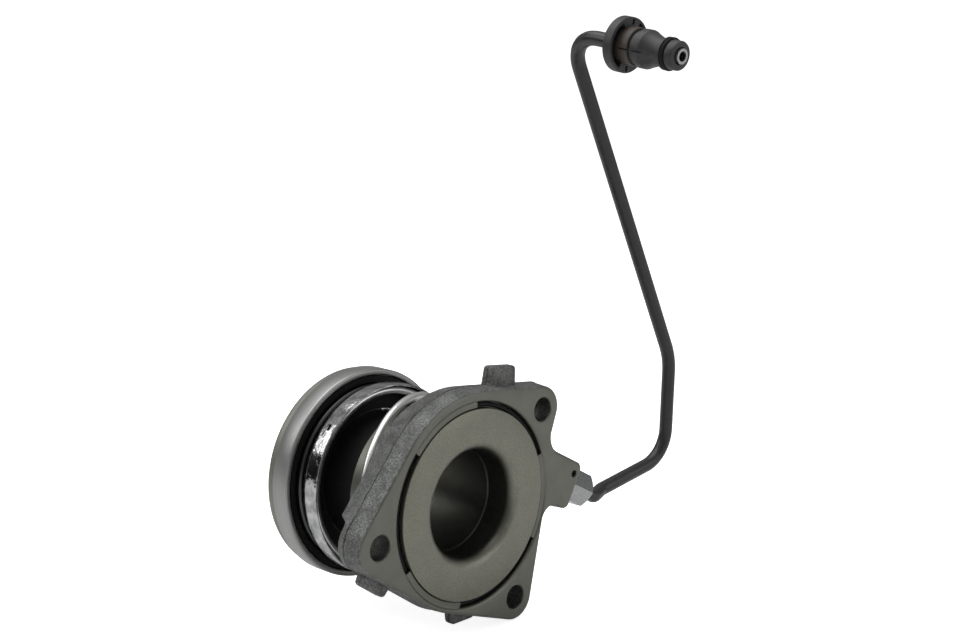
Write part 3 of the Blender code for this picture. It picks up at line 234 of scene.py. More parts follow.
class Socket:
    """A shader value that takes part in ordinary arithmetic."""

    def __init__(self, nodes, link):
        self.nodes = nodes
        self.link = link

    def math(self, operation, first, second=0.0):
        """One Math node on this tree."""
        settings = {"operation": operation}
        return self.nodes.node("ShaderNodeMath", settings, {0: first, 1: second})

    def __add__(self, other):
        return self.math("ADD", self, other)

    def __radd__(self, other):
        return self.math("ADD", other, self)

    def __sub__(self, other):
        return self.math("SUBTRACT", self, other)

    def __rsub__(self, other):
        return self.math("SUBTRACT", other, self)

    def __mul__(self, other):
        return self.math("MULTIPLY", self, other)

    def __rmul__(self, other):
        return self.math("MULTIPLY", other, self)

    def __pow__(self, other):
        return self.math("POWER", self, other)

    def __abs__(self):
        return self.math("ABSOLUTE", self)


class Nodes:
    """A shader tree whose nodes are all added through one method."""

    def __init__(self, tree):
        self.tree = tree

    def feed(self, socket, value):
        """Link a shader value to a socket, or set a plain one on it."""
        if isinstance(value, Socket):
            self.tree.links.new(value.link, socket)
        else:
            socket.default_value = value

    def node(self, kind, settings=None, inputs=None, output=0):
        """Add a node of a kind with its settings and the values of its sockets."""
        made = self.tree.nodes.new(kind)
        for key, value in (settings or {}).items():
            if key == "stops":
                self.place_stops(made.color_ramp, value)
            else:
                setattr(made, key, value)
        for key, value in (inputs or {}).items():
            self.feed(made.inputs[key], value)
        return Socket(self, made.outputs[output])

    def place_stops(self, ramp, stops):
        """Give a ramp its stops of position and grey."""
        while len(ramp.elements) < len(stops):
            ramp.elements.new(0.5)
        for element, (position, grey) in zip(ramp.elements, stops):
            element.position = position
            element.color = (grey, grey, grey, 1.0)


class Finish(Nodes):
    """A Principled material."""

    def __init__(self, name, colour, roughness, metallic=0.0, specular=0.5):
        self.material = bpy.data.materials.new("dressed_" + name)
        self.material.use_nodes = True
        super().__init__(self.material.node_tree)
        self.shader = self.tree.nodes["Principled BSDF"]
        self.set("Base Color", (*colour, 1.0))
        self.set("Roughness", roughness)
        self.set("Metallic", metallic)
        self.set("Specular IOR Level", specular)

    def set(self, name, value):
        """Set or link one socket of the Principled shader."""
        self.feed(self.shader.inputs[name], value)

    def place(self):
        """The point on the piece, in object coordinates."""
        return self.node("ShaderNodeTexCoord", output="Object")

    def part(self, vector, axis):
        """One coordinate of a vector: X, Y or Z."""
        return self.node("ShaderNodeSeparateXYZ", None, {0: vector}, axis)

    def radius(self, centre=Vector((0.0, 0.0))):
        """Distance from the cylinder axis, or from a line beside it at (x, z)."""
        spot = self.place()
        x = self.part(spot, "X") - centre.x
        z = self.part(spot, "Z") - centre.y
        return (x * x + z * z) ** 0.5

    def distance(self, point):
        """Distance from a fixed point."""
        inputs = {0: self.place(), 1: point}
        return self.node("ShaderNodeVectorMath", {"operation": "DISTANCE"}, inputs, "Value")

    def noise(self, scale, detail=2.0, roughness=0.5, vector=None):
        """Noise from 0 to 1 at a scale per metre."""
        where = self.place() if vector is None else vector
        inputs = {"Vector": where, "Scale": scale, "Detail": detail, "Roughness": roughness}
        return self.node("ShaderNodeTexNoise", None, inputs, "Fac")

    def step(self, value, low, high):
        """A smooth rise from 0 to 1 between two values."""
        settings = {"interpolation_type": "SMOOTHSTEP"}
        inputs = {"Value": value, "From Min": low, "From Max": high}
        return self.node("ShaderNodeMapRange", settings, inputs)

    def mix(self, share, first, second):
        """A colour between two colours."""
        settings = {"data_type": "RGBA"}
        inputs = {"Factor": share, 6: self.colour(first), 7: self.colour(second)}
        return self.node("ShaderNodeMix", settings, inputs, 2)

    def colour(self, value):
        """A plain colour with its alpha, or a linked one as it is."""
        return value if isinstance(value, Socket) else (*value, 1.0)

    def bump(self, height, distance, strength=1.0, normal=None):
        """A normal from a height in metres times distance."""
        inputs = {"Height": height, "Distance": distance, "Strength": strength}
        if normal is not None:
            inputs["Normal"] = normal
        return self.node("ShaderNodeBump", None, inputs)


def inside_bolt_holes(finish, y):
    """Mask of the bolt hole walls, 1 inside them, where painted shade darkens the casting."""
    outside = 1.0
    for angle in EAR_ANGLES:
        reach = finish.radius(polar(BOLT_CIRCLE_R, angle))
        outside = finish.step(reach, BOLT_HOLE_R + 0.0001, BOLT_HOLE_R + 0.0003) * outside
    return (1.0 - outside) * finish.step(y, 0.0003, 0.0008)


def mould_seam(finish, y, radius):
    """Mask of the thin uneven seam that the two mould halves leave."""
    stray = (finish.noise(170.0, 3.0, 0.6) - 0.5) * 0.0011
    away = abs(y - SEAM_Y + stray)
    return (1.0 - finish.step(away, 0.00004, 0.00015)) * finish.step(radius, 0.0340, 0.0343)


def cast_aluminium(colours):
    """Cast skin with grain, and turned or milled faces where it is machined."""
    finish = Finish("cast_aluminium", colours.cast, 0.5, 1.0)
    y = finish.part(finish.place(), "Y")
    radius = finish.radius()
    front = 1.0 - finish.step(y, 0.00015, 0.00035)
    neck = finish.step(y, 0.0172, 0.0174)
    recess = (1.0 - finish.step(radius, 0.0344, 0.0346)) * (1.0 - finish.step(y, 0.0036, 0.0040))
    machined = finish.step(front + neck + recess, 0.2, 0.8)
    cloud = finish.noise(240.0, 4.0, 0.6)
    grain = finish.step(finish.noise(1700.0, 3.0, 0.62), 0.32, 0.68)
    seam = mould_seam(finish, y, radius)
    skin = finish.mix(finish.step(cloud, 0.3, 0.7), colours.cast, (0.32, 0.33, 0.32))
    skin = finish.mix((1.0 - grain) * 0.64, skin, (0.055, 0.056, 0.053))
    skin = finish.mix(seam, skin, (0.02, 0.02, 0.019))
    worked = finish.mix(finish.noise(90.0, 3.0) * 0.6, colours.machined, (0.27, 0.275, 0.237))
    colour = finish.mix(machined, skin, worked)
    # painted shade: the walls of the bolt holes are darkened to stand in for the shade inside them
    hole_shade = inside_bolt_holes(finish, y) * 0.55
    finish.set("Base Color", finish.mix(hole_shade, colour, (0.035, 0.035, 0.031)))
    finish.set("Roughness", 0.56 - machined * 0.14 + (cloud - 0.5) * 0.12)
    rings = finish.noise(9000.0, 1.0, 0.5, radius)
    height = (grain + cloud * 1.5 - seam * 0.8) * (1.0 - machined) + rings * machined * 0.05
    finish.set("Normal", finish.bump(height, 0.00014, 0.9))
    return finish.material


def sleeve_steel(colours):
    """Olive satin finish of the drawn guide sleeve, with painted shade darkening its bore."""
    finish = Finish("sleeve_steel", colours.sleeve, 0.4, 1.0)
    cloud = finish.noise(160.0, 4.0, 0.6)
    fine = finish.noise(3600.0, 3.0, 0.6)
    colour = finish.mix(finish.step(cloud, 0.3, 0.75) * 0.6, colours.sleeve, (0.31, 0.31, 0.255))
    speck = finish.step(finish.noise(1500.0, 3.0, 0.6), 0.38, 0.62)
    colour = finish.mix((1.0 - speck) * 0.3, colour, (0.13, 0.13, 0.105))
    # painted shade: the bore, inside radius 17.2 to 19.2 mm, is darkened to stand in for the shade
    # deep inside it
    bore = 1.0 - finish.step(finish.radius(), 0.0172, 0.0192)
    finish.set("Base Color", finish.mix(bore, colour, (0.095, 0.095, 0.082)))
    finish.set("Roughness", 0.36 + cloud * 0.12 + fine * 0.04)
    finish.set("Normal", finish.bump(fine, 0.00003, 0.6))
    return finish.material


def ground_steel(colours):
    """Satin bearing steel with fine turning lines and a darker far band."""
    finish = Finish("ring_steel", colours.ring, 0.42, 1.0)
    y = finish.part(finish.place(), "Y")
    radius = finish.radius()
    lines = finish.noise(1500.0, 5.0, 0.7, radius + y * 1.7)
    far = finish.step(y, 0.0573, 0.0576)
    band = finish.mix(far, colours.ring, (0.30, 0.30, 0.262))
    worn = finish.step(lines, 0.35, 0.7) * 0.6
    finish.set("Base Color", finish.mix(worn, band, (0.20, 0.20, 0.195)))
    finish.set("Roughness", 0.38 + lines * 0.14 + far * 0.06)
    finish.set("Normal", finish.bump(lines, 0.00003, 0.6))
    return finish.material


def race_steel():
    """Dark hardened steel of the inner ring."""
    finish = Finish("race_steel", (0.075, 0.075, 0.076), 0.3, 1.0)
    lines = finish.noise(9000.0, 2.0, 0.6, finish.radius())
    finish.set("Base Color", finish.mix(lines, (0.06, 0.06, 0.061), (0.11, 0.11, 0.108)))
    finish.set("Roughness", 0.26 + lines * 0.1)
    return finish.material


def polished_steel():
    """Bright pressed sheet of the spring cup, slightly wavy from pressing, with mottled dark
    reflections painted into its colour.
    """
    finish = Finish("polished_steel", (0.66, 0.66, 0.67), 0.1, 1.0)
    ripple = finish.noise(190.0, 3.0, 0.55)
    # painted reflection: noise patches darken the base colour to stand in for the dark
    # surroundings that the polished cup mirrors
    painted_reflection = finish.step(finish.noise(260.0, 4.0, 0.6), 0.35, 0.7)
    finish.set("Base Color", finish.mix(painted_reflection * 0.7, (0.58, 0.58, 0.59), (0.16, 0.16, 0.165)))
    finish.set("Roughness", 0.08 + ripple * 0.12)
    finish.set("Normal", finish.bump(ripple, 0.0006, 0.6))
    return finish.material


def spring_steel():
    """Bright drawn wire."""
    finish = Finish("spring_steel", (0.88, 0.88, 0.87), 0.3, 1.0)
    draw = finish.noise(1800.0, 2.0, 0.6)
    finish.set("Base Color", finish.mix(draw * 0.5, (0.92, 0.92, 0.91), (0.72, 0.72, 0.71)))
    finish.set("Roughness", 0.24 + draw * 0.16)
    finish.set("Normal", finish.bump(draw, 0.00003, 0.4))
    return finish.material


def zinc_plate():
    """Bright zinc on the tube nut."""
    finish = Finish("zinc_plate", (0.50, 0.505, 0.51), 0.24, 1.0)
    grain = finish.noise(3000.0, 3.0, 0.6)
    finish.set("Base Color", finish.mix(grain * 0.6, (0.54, 0.545, 0.55), (0.30, 0.305, 0.31)))
    finish.set("Roughness", 0.2 + grain * 0.14)
    finish.set("Normal", finish.bump(grain, 0.00002, 0.4))
    return finish.material


def black_coating():
    """Semi-gloss plastic coating of the pipe, with bare steel at its tip."""
    finish = Finish("black_coating", (0.020, 0.020, 0.021), 0.34)
    wave = finish.noise(500.0, 3.0, 0.55)
    coat = finish.mix(wave, (0.014, 0.014, 0.015), (0.032, 0.032, 0.033))
    bare = 1.0 - finish.step(finish.distance(PIPE_TIP), 0.0034, 0.0036)
    finish.set("Base Color", finish.mix(bare, coat, (0.45, 0.45, 0.45)))
    finish.set("Metallic", bare)
    finish.set("Roughness", 0.26 + wave * 0.18)
    finish.set("Normal", finish.bump(wave, 0.0001, 0.6))
    return finish.material


def black_rubber():
    """Matt seal rubber."""
    finish = Finish("black_rubber", (0.008, 0.008, 0.008), 0.66, 0.0, 0.25)
    grain = finish.noise(3000.0, 2.0, 0.5)
    finish.set("Base Color", finish.mix(grain, (0.006, 0.006, 0.006), (0.011, 0.011, 0.011)))
    finish.set("Normal", finish.bump(grain, 0.00002, 0.5))
    return finish.material


def black_plastic():
    """Glass-filled black plastic of the piston and the spring seat."""
    finish = Finish("black_plastic", (0.010, 0.010, 0.011), 0.5, 0.0, 0.3)
    grain = finish.noise(3200.0, 3.0, 0.6)
    finish.set("Base Color", finish.mix(grain, (0.007, 0.007, 0.008), (0.014, 0.014, 0.014)))
    finish.set("Roughness", 0.45 + grain * 0.16)
    finish.set("Normal", finish.bump(grain, 0.00003, 0.5))
    return finish.material


def connector_plastic():
    """Dark grey plastic of the connector, browned in the neck of the bush."""
    finish = Finish("connector_plastic", (0.030, 0.030, 0.031), 0.42)
    grain = finish.noise(3200.0, 3.0, 0.6)
    colour = finish.mix(grain, (0.024, 0.024, 0.025), (0.042, 0.042, 0.042))
    apart = finish.distance(PIPE_TIP)
    neck = finish.step(apart, 0.0180, 0.0186) * (1.0 - finish.step(apart, 0.0216, 0.0222))
    finish.set("Base Color", finish.mix(neck * 0.6, colour, (0.075, 0.050, 0.032)))
    finish.set("Roughness", 0.38 + grain * 0.16)
    finish.set("Normal", finish.bump(grain, 0.00003, 0.5))
    return finish.material


def cage_plastic():
    """Natural glass-filled plastic of the ball cage."""
    finish = Finish("cage_plastic", (0.26, 0.20, 0.10), 0.5)
    grain = finish.noise(3000.0, 2.0, 0.5)
    finish.set("Base Color", finish.mix(grain * 0.5, (0.26, 0.20, 0.10), (0.18, 0.13, 0.06)))
    return finish.material


def finish_of(name):
    """A finish that the finishes operator has made.

    The frame brings plain materials of the bare names with it.
    """
    return bpy.data.materials["dressed_" + name]


def deselect_all():
    """Leave edit mode and select nothing."""
    active = bpy.context.view_layer.objects.active
    if active is not None and active.mode == "EDIT":
        bpy.ops.object.mode_set(mode="OBJECT")
    bpy.ops.object.select_all(action="DESELECT")


def activate(piece):
    """Make one piece the only selected and the active object."""
    deselect_all()
    piece.select_set(True)
    bpy.context.view_layer.objects.active = piece


def start_line(name, spot):
    """A new mesh of one point, open in edit mode with the point selected."""
    deselect_all()
    bpy.ops.mesh.primitive_plane_add(size=0.001, location=(0.0, 0.0, 0.0))
    piece = bpy.context.object
    piece.name = name
    piece.data.name = name
    bpy.ops.object.mode_set(mode="EDIT")
    bpy.ops.mesh.select_mode(type="VERT")
    bpy.ops.mesh.select_all(action="SELECT")
    bpy.ops.mesh.merge(type="CENTER")
    bpy.ops.transform.translate(value=spot)
    return piece


def draw_to(start, end):
    """Carry a line on from its selected last point."""
    step = Vector(end) - Vector(start)
    bpy.ops.mesh.extrude_vertices_move(TRANSFORM_OT_translate={"value": step})


def merge_points():
    """Join the points of the open mesh that lie on each other."""
    bpy.ops.mesh.select_all(action="SELECT")
    bpy.ops.mesh.remove_doubles(threshold=2e-6)
    bpy.ops.mesh.select_all(action="SELECT")


def face_outwards():
    """Merge the open mesh, drop loose lines, face it outwards and leave edit mode."""
    merge_points()
    bpy.ops.mesh.delete_loose(use_verts=True, use_edges=True, use_faces=False)
    bpy.ops.mesh.select_all(action="SELECT")
    bpy.ops.mesh.normals_make_consistent(inside=False)
    bpy.ops.object.mode_set(mode="OBJECT")


def use_modifier(piece, kind, **settings):
    """Add a modifier with its settings and apply it at once."""
    activate(piece)
    modifier = piece.modifiers.new(kind.title(), kind)
    for key, value in settings.items():
        setattr(modifier, key, value)
    bpy.ops.object.modifier_apply(modifier=modifier.name)


def soften(piece, width, segments=2, angle=math.radians(32.0)):
    """Round the sharp edges of a piece by a small width."""
    where = {"limit_method": "ANGLE", "angle_limit": angle, "use_clamp_overlap": True}
    use_modifier(piece, "BEVEL", width=width, segments=segments, **where)


def cut(piece, tool, operation="DIFFERENCE"):
    """Cut a tool out of a piece or join it on, and remove the tool."""
    use_modifier(piece, "BOOLEAN", object=tool, operation=operation, solver="EXACT")
    bpy.data.objects.remove(tool, do_unlink=True)
    bpy.ops.object.mode_set(mode="EDIT")
    merge_points()
    bpy.ops.mesh.dissolve_degenerate(threshold=2e-6)
    bpy.ops.object.mode_set(mode="OBJECT")


def dress(piece, finish, body, nodes, angle=math.radians(35.0)):
    """Give a finished piece its shading, finish and body, and hide the CAD nodes it replaces."""
    activate(piece)
    bpy.ops.object.shade_smooth_by_angle(angle=angle)
    piece.data.materials.clear()
    piece.data.materials.append(finish_of(finish))
    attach(piece, body)
    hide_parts(*nodes)
    return piece


def settle(piece):
    """Move a piece's place and turn into its mesh."""
    activate(piece)
    bpy.ops.object.transform_apply(location=True, rotation=True, scale=True)


def draw_profile(name, profile):
    """Draw a closed profile of (radius, y) points, open in edit mode."""
    line = [Vector((radius, y, 0.0)) for radius, y in profile]
    piece = start_line(name, line[0])
    for here, there in zip(line, line[1:] + line[:1]):
        draw_to(here, there)
    merge_points()
    return piece


def turned_piece(name, profile, steps=96):
    """Spin a closed profile of (radius, y) points about the cylinder axis."""
    piece = draw_profile(name, profile)
    axis = {"center": (0.0, 0.0, 0.0), "axis": (0.0, 1.0, 0.0)}
    bpy.ops.mesh.spin(steps=steps, angle=2.0 * math.pi, **axis)
    face_outwards()
    return piece


def stand_on(piece, spot, direction):
    """Turn a piece made along Y onto a direction and move it to a point."""
    piece.rotation_mode = "QUATERNION"
    piece.rotation_quaternion = direction.to_track_quat("Y", "Z")
    piece.location = spot
    settle(piece)
    return piece


def curve_points(centre, radius, start, end, steps):
    """Points of an arc in the (radius, y) plane, angles in degrees."""
    angles = [math.radians(start + (end - start) * i / steps) for i in range(steps + 1)]
    return [(centre[0] + radius * math.cos(a), centre[1] + radius * math.sin(a)) for a in angles]


def rod(name, start, end, radius, steps=48):
    """A round bar between two points."""
    start = Vector(start)
    end = Vector(end)
    deselect_all()
    turn = (end - start).to_track_quat("Z", "Y").to_euler()
    size = {"vertices": steps, "radius": radius, "depth": (end - start).length}
    bpy.ops.mesh.primitive_cylinder_add(location=(start + end) / 2.0, rotation=turn, **size)
    bar = bpy.context.object
    bar.name = name
    settle(bar)
    return bar


def block(name, low, high, turn=0.0):
    """A box between two corners, then turned about the cylinder axis."""
    low = Vector(low)
    high = Vector(high)
    deselect_all()
    bpy.ops.mesh.primitive_cube_add(size=1.0, location=(low + high) / 2.0, scale=high - low)
    box = bpy.context.object
    box.name = name
    settle(box)
    if turn:
        box.rotation_euler = (0.0, -turn, 0.0)
        settle(box)
    return box


def polar(radius, angle):
    """A point of the flange plane, as (x, z)."""
    return Vector((radius * math.cos(angle), radius * math.sin(angle)))


def port_point(along, across):
    """A point of the flange plane, along and across the port axis."""
    spot = PORT_DIRECTION * along + PORT_SIDE * across
    return Vector((spot.x, spot.z))


def flange_circles(sizes):
    """Circles that the flange outline wraps, anticlockwise from the upper ear.

    Each is (centre, radius, side): side is 1 where the outline goes round the
    outside of the circle and -1 where it hugs it as a hollow fillet.
    """
    ears = [polar(BOLT_CIRCLE_R, angle) for angle in EAR_ANGLES]
    centre = Vector((0.0, 0.0))
    low = PORT_OFFSET - BOSS_HALF_LOWER
    high = PORT_OFFSET + BOSS_HALF_UPPER
    low_across = low - LOWER_FILLET_R
    low_along = math.sqrt((0.0342 + LOWER_FILLET_R) ** 2 - low_across ** 2)
    ear_along = ears[0].dot(Vector((PORT_DIRECTION.x, PORT_DIRECTION.z)))
    ear_across = ears[0].dot(Vector((PORT_SIDE.x, PORT_SIDE.z)))
    high_across = high + UPPER_FILLET_R
    reach = EAR_RADII[0] + UPPER_FILLET_R + 0.0012
    high_along = ear_along + math.sqrt(reach ** 2 - (ear_across - high_across) ** 2)
    corner_along = BOSS_END - BOSS_CORNER_R
    return [
        (ears[0], EAR_RADII[0], 1),
        (centre, sizes.body_upper_r, 1),
        (ears[1], EAR_RADII[1], 1),
        (centre, sizes.body_lower_r, 1),
        (ears[2], EAR_RADII[2], 1),
        (port_point(low_along, low_across), LOWER_FILLET_R, -1),
        (port_point(corner_along, low + BOSS_CORNER_R), BOSS_CORNER_R, 1),
        (port_point(corner_along, high - BOSS_CORNER_R), BOSS_CORNER_R, 1),
        (port_point(high_along, high_across), UPPER_FILLET_R, -1),
    ]


def grown_circles(sizes, grow):
    """The outline's circles with the casting grown outwards."""
    return [(c, r + grow * side, side) for c, r, side in flange_circles(sizes)]


def heading_between(first, second):
    """Heading of the straight run that touches two circles in turn."""
    reach = second[0] - first[0]
    rise = second[1] * second[2] - first[1] * first[2]
    return math.atan2(reach.y, reach.x) - math.asin(rise / reach.length)


def touch_point(circle, heading, y):
    """Where a straight run with this heading touches a circle."""
    signed = circle[1] * circle[2]
    flat = circle[0] - Vector((-math.sin(heading), math.cos(heading))) * signed
    return Vector((flat.x, y, flat.y))


def draw_flange(name, sizes, grow, y):
    """Draw the flange outline as straight runs and spun arcs, and fill it."""
    circles = grown_circles(sizes, grow)
    count = len(circles)
    headings = [heading_between(circles[i], circles[(i + 1) % count]) for i in range(count)]
    here = touch_point(circles[0], headings[-1], y)
    outline = start_line(name, here)
    for i, circle in enumerate(circles):
        centre, radius, side = circle
        turn = (headings[i] - headings[i - 1]) % (2.0 * math.pi)
        if side < 0:
            turn -= 2.0 * math.pi
        steps = max(4, round(abs(turn) / math.radians(4.0)))
        middle = (centre.x, y, centre.y)
        bpy.ops.mesh.spin(steps=steps, angle=turn, center=middle, axis=(0.0, 1.0, 0.0))
        here = touch_point(circle, headings[i], y)
        there = touch_point(circles[(i + 1) % count], headings[i], y)
        draw_to(here, there)
    merge_points()
    bpy.ops.mesh.edge_face_add()
    return outline


def select_faces(piece, wanted):
    """Select the faces that pass a test, and leave the piece in edit mode."""
    activate(piece)
    for item in (*piece.data.vertices, *piece.data.edges):
        item.select = False
    for face in piece.data.polygons:
        face.select = bool(wanted(face))
    bpy.context.tool_settings.mesh_select_mode = (False, False, True)
    bpy.ops.object.mode_set(mode="EDIT")


def inset_up(stages):
    """Raise the selected face through stages of (inset, rise)."""
    for inset, rise in stages:
        bpy.ops.mesh.inset(thickness=inset, depth=rise, use_even_offset=True)


def flange_body(sizes):
    """Flange with draft on both sides of its parting plane."""
    outline = draw_flange("cast_housing", sizes, PARTING_BULGE, PARTING_PLANE_Y)
    bpy.ops.object.mode_set(mode="OBJECT")
    select_faces(outline, lambda face: True)
    if outline.data.polygons[0].normal.y > 0.0:
        bpy.ops.mesh.flip_normals()
    bpy.ops.mesh.duplicate()
    bpy.ops.mesh.flip_normals()
    rear = sizes.flange_depth - PARTING_PLANE_Y
    inset_up(((0.00015, 0.00012), (0.00115, rear - 0.00112), (0.0003, 0.0005), (0.0005, 0.0003)))
    at_parting = PARTING_PLANE_Y + 0.00001
    bpy.ops.object.mode_set(mode="OBJECT")
    select_faces(outline, lambda face: face.normal.y < -0.9 and face.center.y < at_parting)
    front = PARTING_PLANE_Y - 0.00112
    rounding = ((0.0001, 0.0004), (0.0002, 0.0003), (0.0003, 0.0002), (0.0004, 0.0001))
    inset_up(((0.00015, 0.00012), (0.00045, front), *rounding))
    face_outwards()
    return outline


def partial_ring(name, profile, middle, half_angle):
    """A bar that follows part of a circle about the cylinder axis."""
    piece = draw_profile(name, profile)
    steps = max(2, round(2.0 * half_angle / math.radians(3.0)))
    axis = {"center": (0.0, 0.0, 0.0), "axis": (0.0, 1.0, 0.0)}
    bpy.ops.mesh.spin(steps=steps, angle=2.0 * half_angle, **axis)
    bpy.ops.mesh.select_all(action="SELECT")
    bpy.ops.mesh.fill_holes(sides=0)
    face_outwards()
    piece.rotation_euler = (0.0, half_angle - middle, 0.0)
    settle(piece)
    return piece


def casting_lug(spot, outward, height, width):
    """A rounded pad that stands on the flange rim."""
    deselect_all()
    bpy.ops.mesh.primitive_cube_add(size=1.0, scale=(height + LUG_ROOT, 0.0050, width))
    lug = bpy.context.object
    lug.name = "casting_lug"
    settle(lug)
    select_faces(lug, lambda face: face.normal.x > 0.9)
    bpy.ops.transform.resize(value=(1.0, 0.84, 0.92))
    bpy.ops.object.mode_set(mode="OBJECT")
    soften(lug, 0.0011, 4)
    middle = spot + outward * (height - LUG_ROOT) / 2.0
    lug.location = (middle.x, PARTING_PLANE_Y, middle.y)
    lug.rotation_euler = (0.0, -math.atan2(outward.y, outward.x), 0.0)
    settle(lug)
    return lug


def flange_run(sizes, index, share):
    """A point and outward direction on a straight run of the outline."""
    circles = grown_circles(sizes, PARTING_BULGE)
    first = circles[index]
    second = circles[(index + 1) % len(circles)]
    heading = heading_between(first, second)
    start = touch_point(first, heading, 0.0)
    end = touch_point(second, heading, 0.0)
    spot = start.lerp(end, share)
    return Vector((spot.x, spot.z)), Vector((math.sin(heading), -math.cos(heading)))


def on_port(piece):
    """Turn a piece made along Y onto the port's axis."""
    return stand_on(piece, PORT_ORIGIN, PORT_DIRECTION)


def cylinder_neck(sizes):
    """Seat step and neck behind the flange, with their cast fillets."""
    neck = sizes.neck_r
    profile = [(0.0250, 0.0110), (0.0336, 0.0110), (0.0336, 0.0172), (0.0332, 0.0176)]
    profile += [(neck + 0.0012, 0.0176)]
    profile += curve_points((neck + 0.0012, 0.0188), 0.0012, 270.0, 180.0, 4)[1:]
    profile += [(neck, 0.0281), (neck - 0.0006, 0.0287), (0.0216, 0.0287), (0.0216, 0.0110)]
    return turned_piece("cylinder_neck", profile)


def cylinder_bore():
    """Tool for the disc recess, the seal groove, the bore and the wiper pocket."""
    profile = [(0.0, -0.002), (0.0343, -0.002), (0.0343, -0.0001), (0.0337, 0.0001)]
    profile += [(0.0333, 0.0004), (0.0331, 0.0009), (0.0331, 0.0031), (0.0310, 0.0031)]
    profile += [(0.0310, 0.0027)]
    profile += [(0.0262, 0.0027), (0.0262, 0.0051)]
    profile += [(0.0238, 0.0051), (0.0238, 0.0027), (0.0226, 0.0027), (0.0226, 0.0267)]
    profile += [(0.0251, 0.0267), (0.0251, 0.0284), (0.0255, 0.0288), (0.0255, 0.031)]
    profile += [(0.0, 0.031)]
    return turned_piece("bore_tool", profile)


def bolt_hole(angle):
    """Tool for one bolt hole with its chamfers and spot face."""
    hole = BOLT_HOLE_R
    seat = SPOT_FACE_R - 0.0008
    profile = [(0.0, -0.002), (hole + 0.0004, -0.002), (hole + 0.0004, -0.0001), (hole, 0.0003)]
    profile += [(hole, EAR_DEPTH - 0.0003), (hole + 0.0003, EAR_DEPTH), (seat, EAR_DEPTH)]
    profile += curve_points((seat, EAR_DEPTH + 0.0008), 0.0008, -90.0, 0.0, 3)[1:]
    profile += [(SPOT_FACE_R, 0.0200), (0.0, 0.0200)]
    tool = turned_piece("bolt_hole_tool", profile, 64)
    spot = polar(BOLT_CIRCLE_R, angle)
    tool.location = (spot.x, 0.0, spot.y)
    settle(tool)
    return tool


def port_bore():
    """Tool for the machined port face and the threaded port."""
    profile = [(0.0, 0.0040), (0.0017, 0.0040), (0.0017, BOSS_END - 0.013)]
    profile += [(0.0045, BOSS_END - 0.012), (0.0045, BOSS_END - 0.0004), (0.0049, BOSS_END)]
    profile += [(0.0069, BOSS_END)]
    profile += [(0.0069, BOSS_END + 0.003), (0.0, BOSS_END + 0.003)]
    return on_port(turned_piece("port_tool", profile, 64))


class SLAVE_OT_finishes(bpy.types.Operator):
    """Make the finishes."""

    bl_idname = "slave_cylinder.finishes"
    bl_label = "Finishes"

    def execute(self, context):
        colours = context.scene.slave_finish_colours
        cast_aluminium(colours)
        sleeve_steel(colours)
        ground_steel(colours)
        race_steel()
        polished_steel()
        spring_steel()
        zinc_plate()
        black_coating()
        black_rubber()
        black_plastic()
        connector_plastic()
        cage_plastic()
        return {"FINISHED"}


class SLAVE_OT_housing(bpy.types.Operator):
    """Build the cast housing with its flange, port, neck, lugs and stakes."""

    bl_idname = "slave_cylinder.housing"
    bl_label = "Cast Housing"

    def execute(self, context):
        sizes = context.scene.slave_housing_sizes
        housing = flange_body(sizes)
        cut(housing, cylinder_neck(sizes), "UNION")
        cut(housing, cylinder_bore())
        low_lug = polar(sizes.body_lower_r + PARTING_BULGE, LOW_LUG_ANGLE)
        lug_spots = [flange_run(sizes, 0, 0.533), flange_run(sizes, 2, 0.33)]
        lug_spots.append((low_lug, polar(1.0, LOW_LUG_ANGLE)))
        for (spot, outward), (height, width) in zip(lug_spots, LUG_SIZES):
            cut(housing, casting_lug(spot, outward, height, width), "UNION")
        for angle in EAR_ANGLES:
            cut(housing, bolt_hole(angle))
        cut(housing, port_bore())
        pin = port_point(BOSS_END - 0.0029, PORT_OFFSET + 0.0029)
        cut(housing, rod("pin_tool", (pin.x, -0.002, pin.y), (pin.x, 0.0024, pin.y), 0.00125))
        stake = [(0.0336, 0.00055), (0.0326, 0.0004), (0.0315, 0.0003), (0.0312, 0.0005)]
        stake += [(0.0312, 0.0010), (0.0314, 0.0011), (0.0336, 0.0011)]
        for angle in STAKE_ANGLES:
            cut(housing, partial_ring("stake", stake, angle, STAKE_HALF_ANGLE), "UNION")
        use_modifier(housing, "WEIGHTED_NORMAL", keep_sharp=True)
        dress(housing, "cast_aluminium", "housing", ["housing"], math.radians(28.0))
        return {"FINISHED"}


class SLAVE_OT_sleeve(bpy.types.Operator):
    """Build the drawn guide sleeve with its face disc."""

    bl_idname = "slave_cylinder.sleeve"
    bl_label = "Guide Sleeve"

    def execute(self, context):
        end = SLEEVE_BOX[1].y
        profile = curve_points((0.0212, 0.0038), 0.0038, -90.0, -180.0, 10)
        profile += [(0.0174, 0.0107), (0.0173, 0.0109), (0.01705, 0.01125)]
        profile += [(0.01705, end - 0.0002), (0.01725, end), (0.0183, end), (0.0186, end - 0.0003)]
        profile += [(0.0186, 0.0541), (0.0180, 0.0541), (0.0180, 0.0527), (0.0186, 0.0527)]
        profile += curve_points((0.0204, 0.0042), 0.0018, 180.0, 270.0, 6)
        profile += [(0.0309, 0.0024), (0.0310, 0.0023), (0.0310, 0.0004), (0.03088, 0.00013)]
        profile += [(0.0306, 0.0)]
        sleeve = turned_piece("dressed_guide_sleeve", profile, 128)
        dress(sleeve, "sleeve_steel", "housing", ["guide_sleeve"])
        return {"FINISHED"}


def round_ring(name, radius, y, section):
    """A plain ring of round section about the cylinder axis."""
    turned = curve_points((radius, y), section, 0.0, 337.5, 15)
    return turned_piece(name, turned)


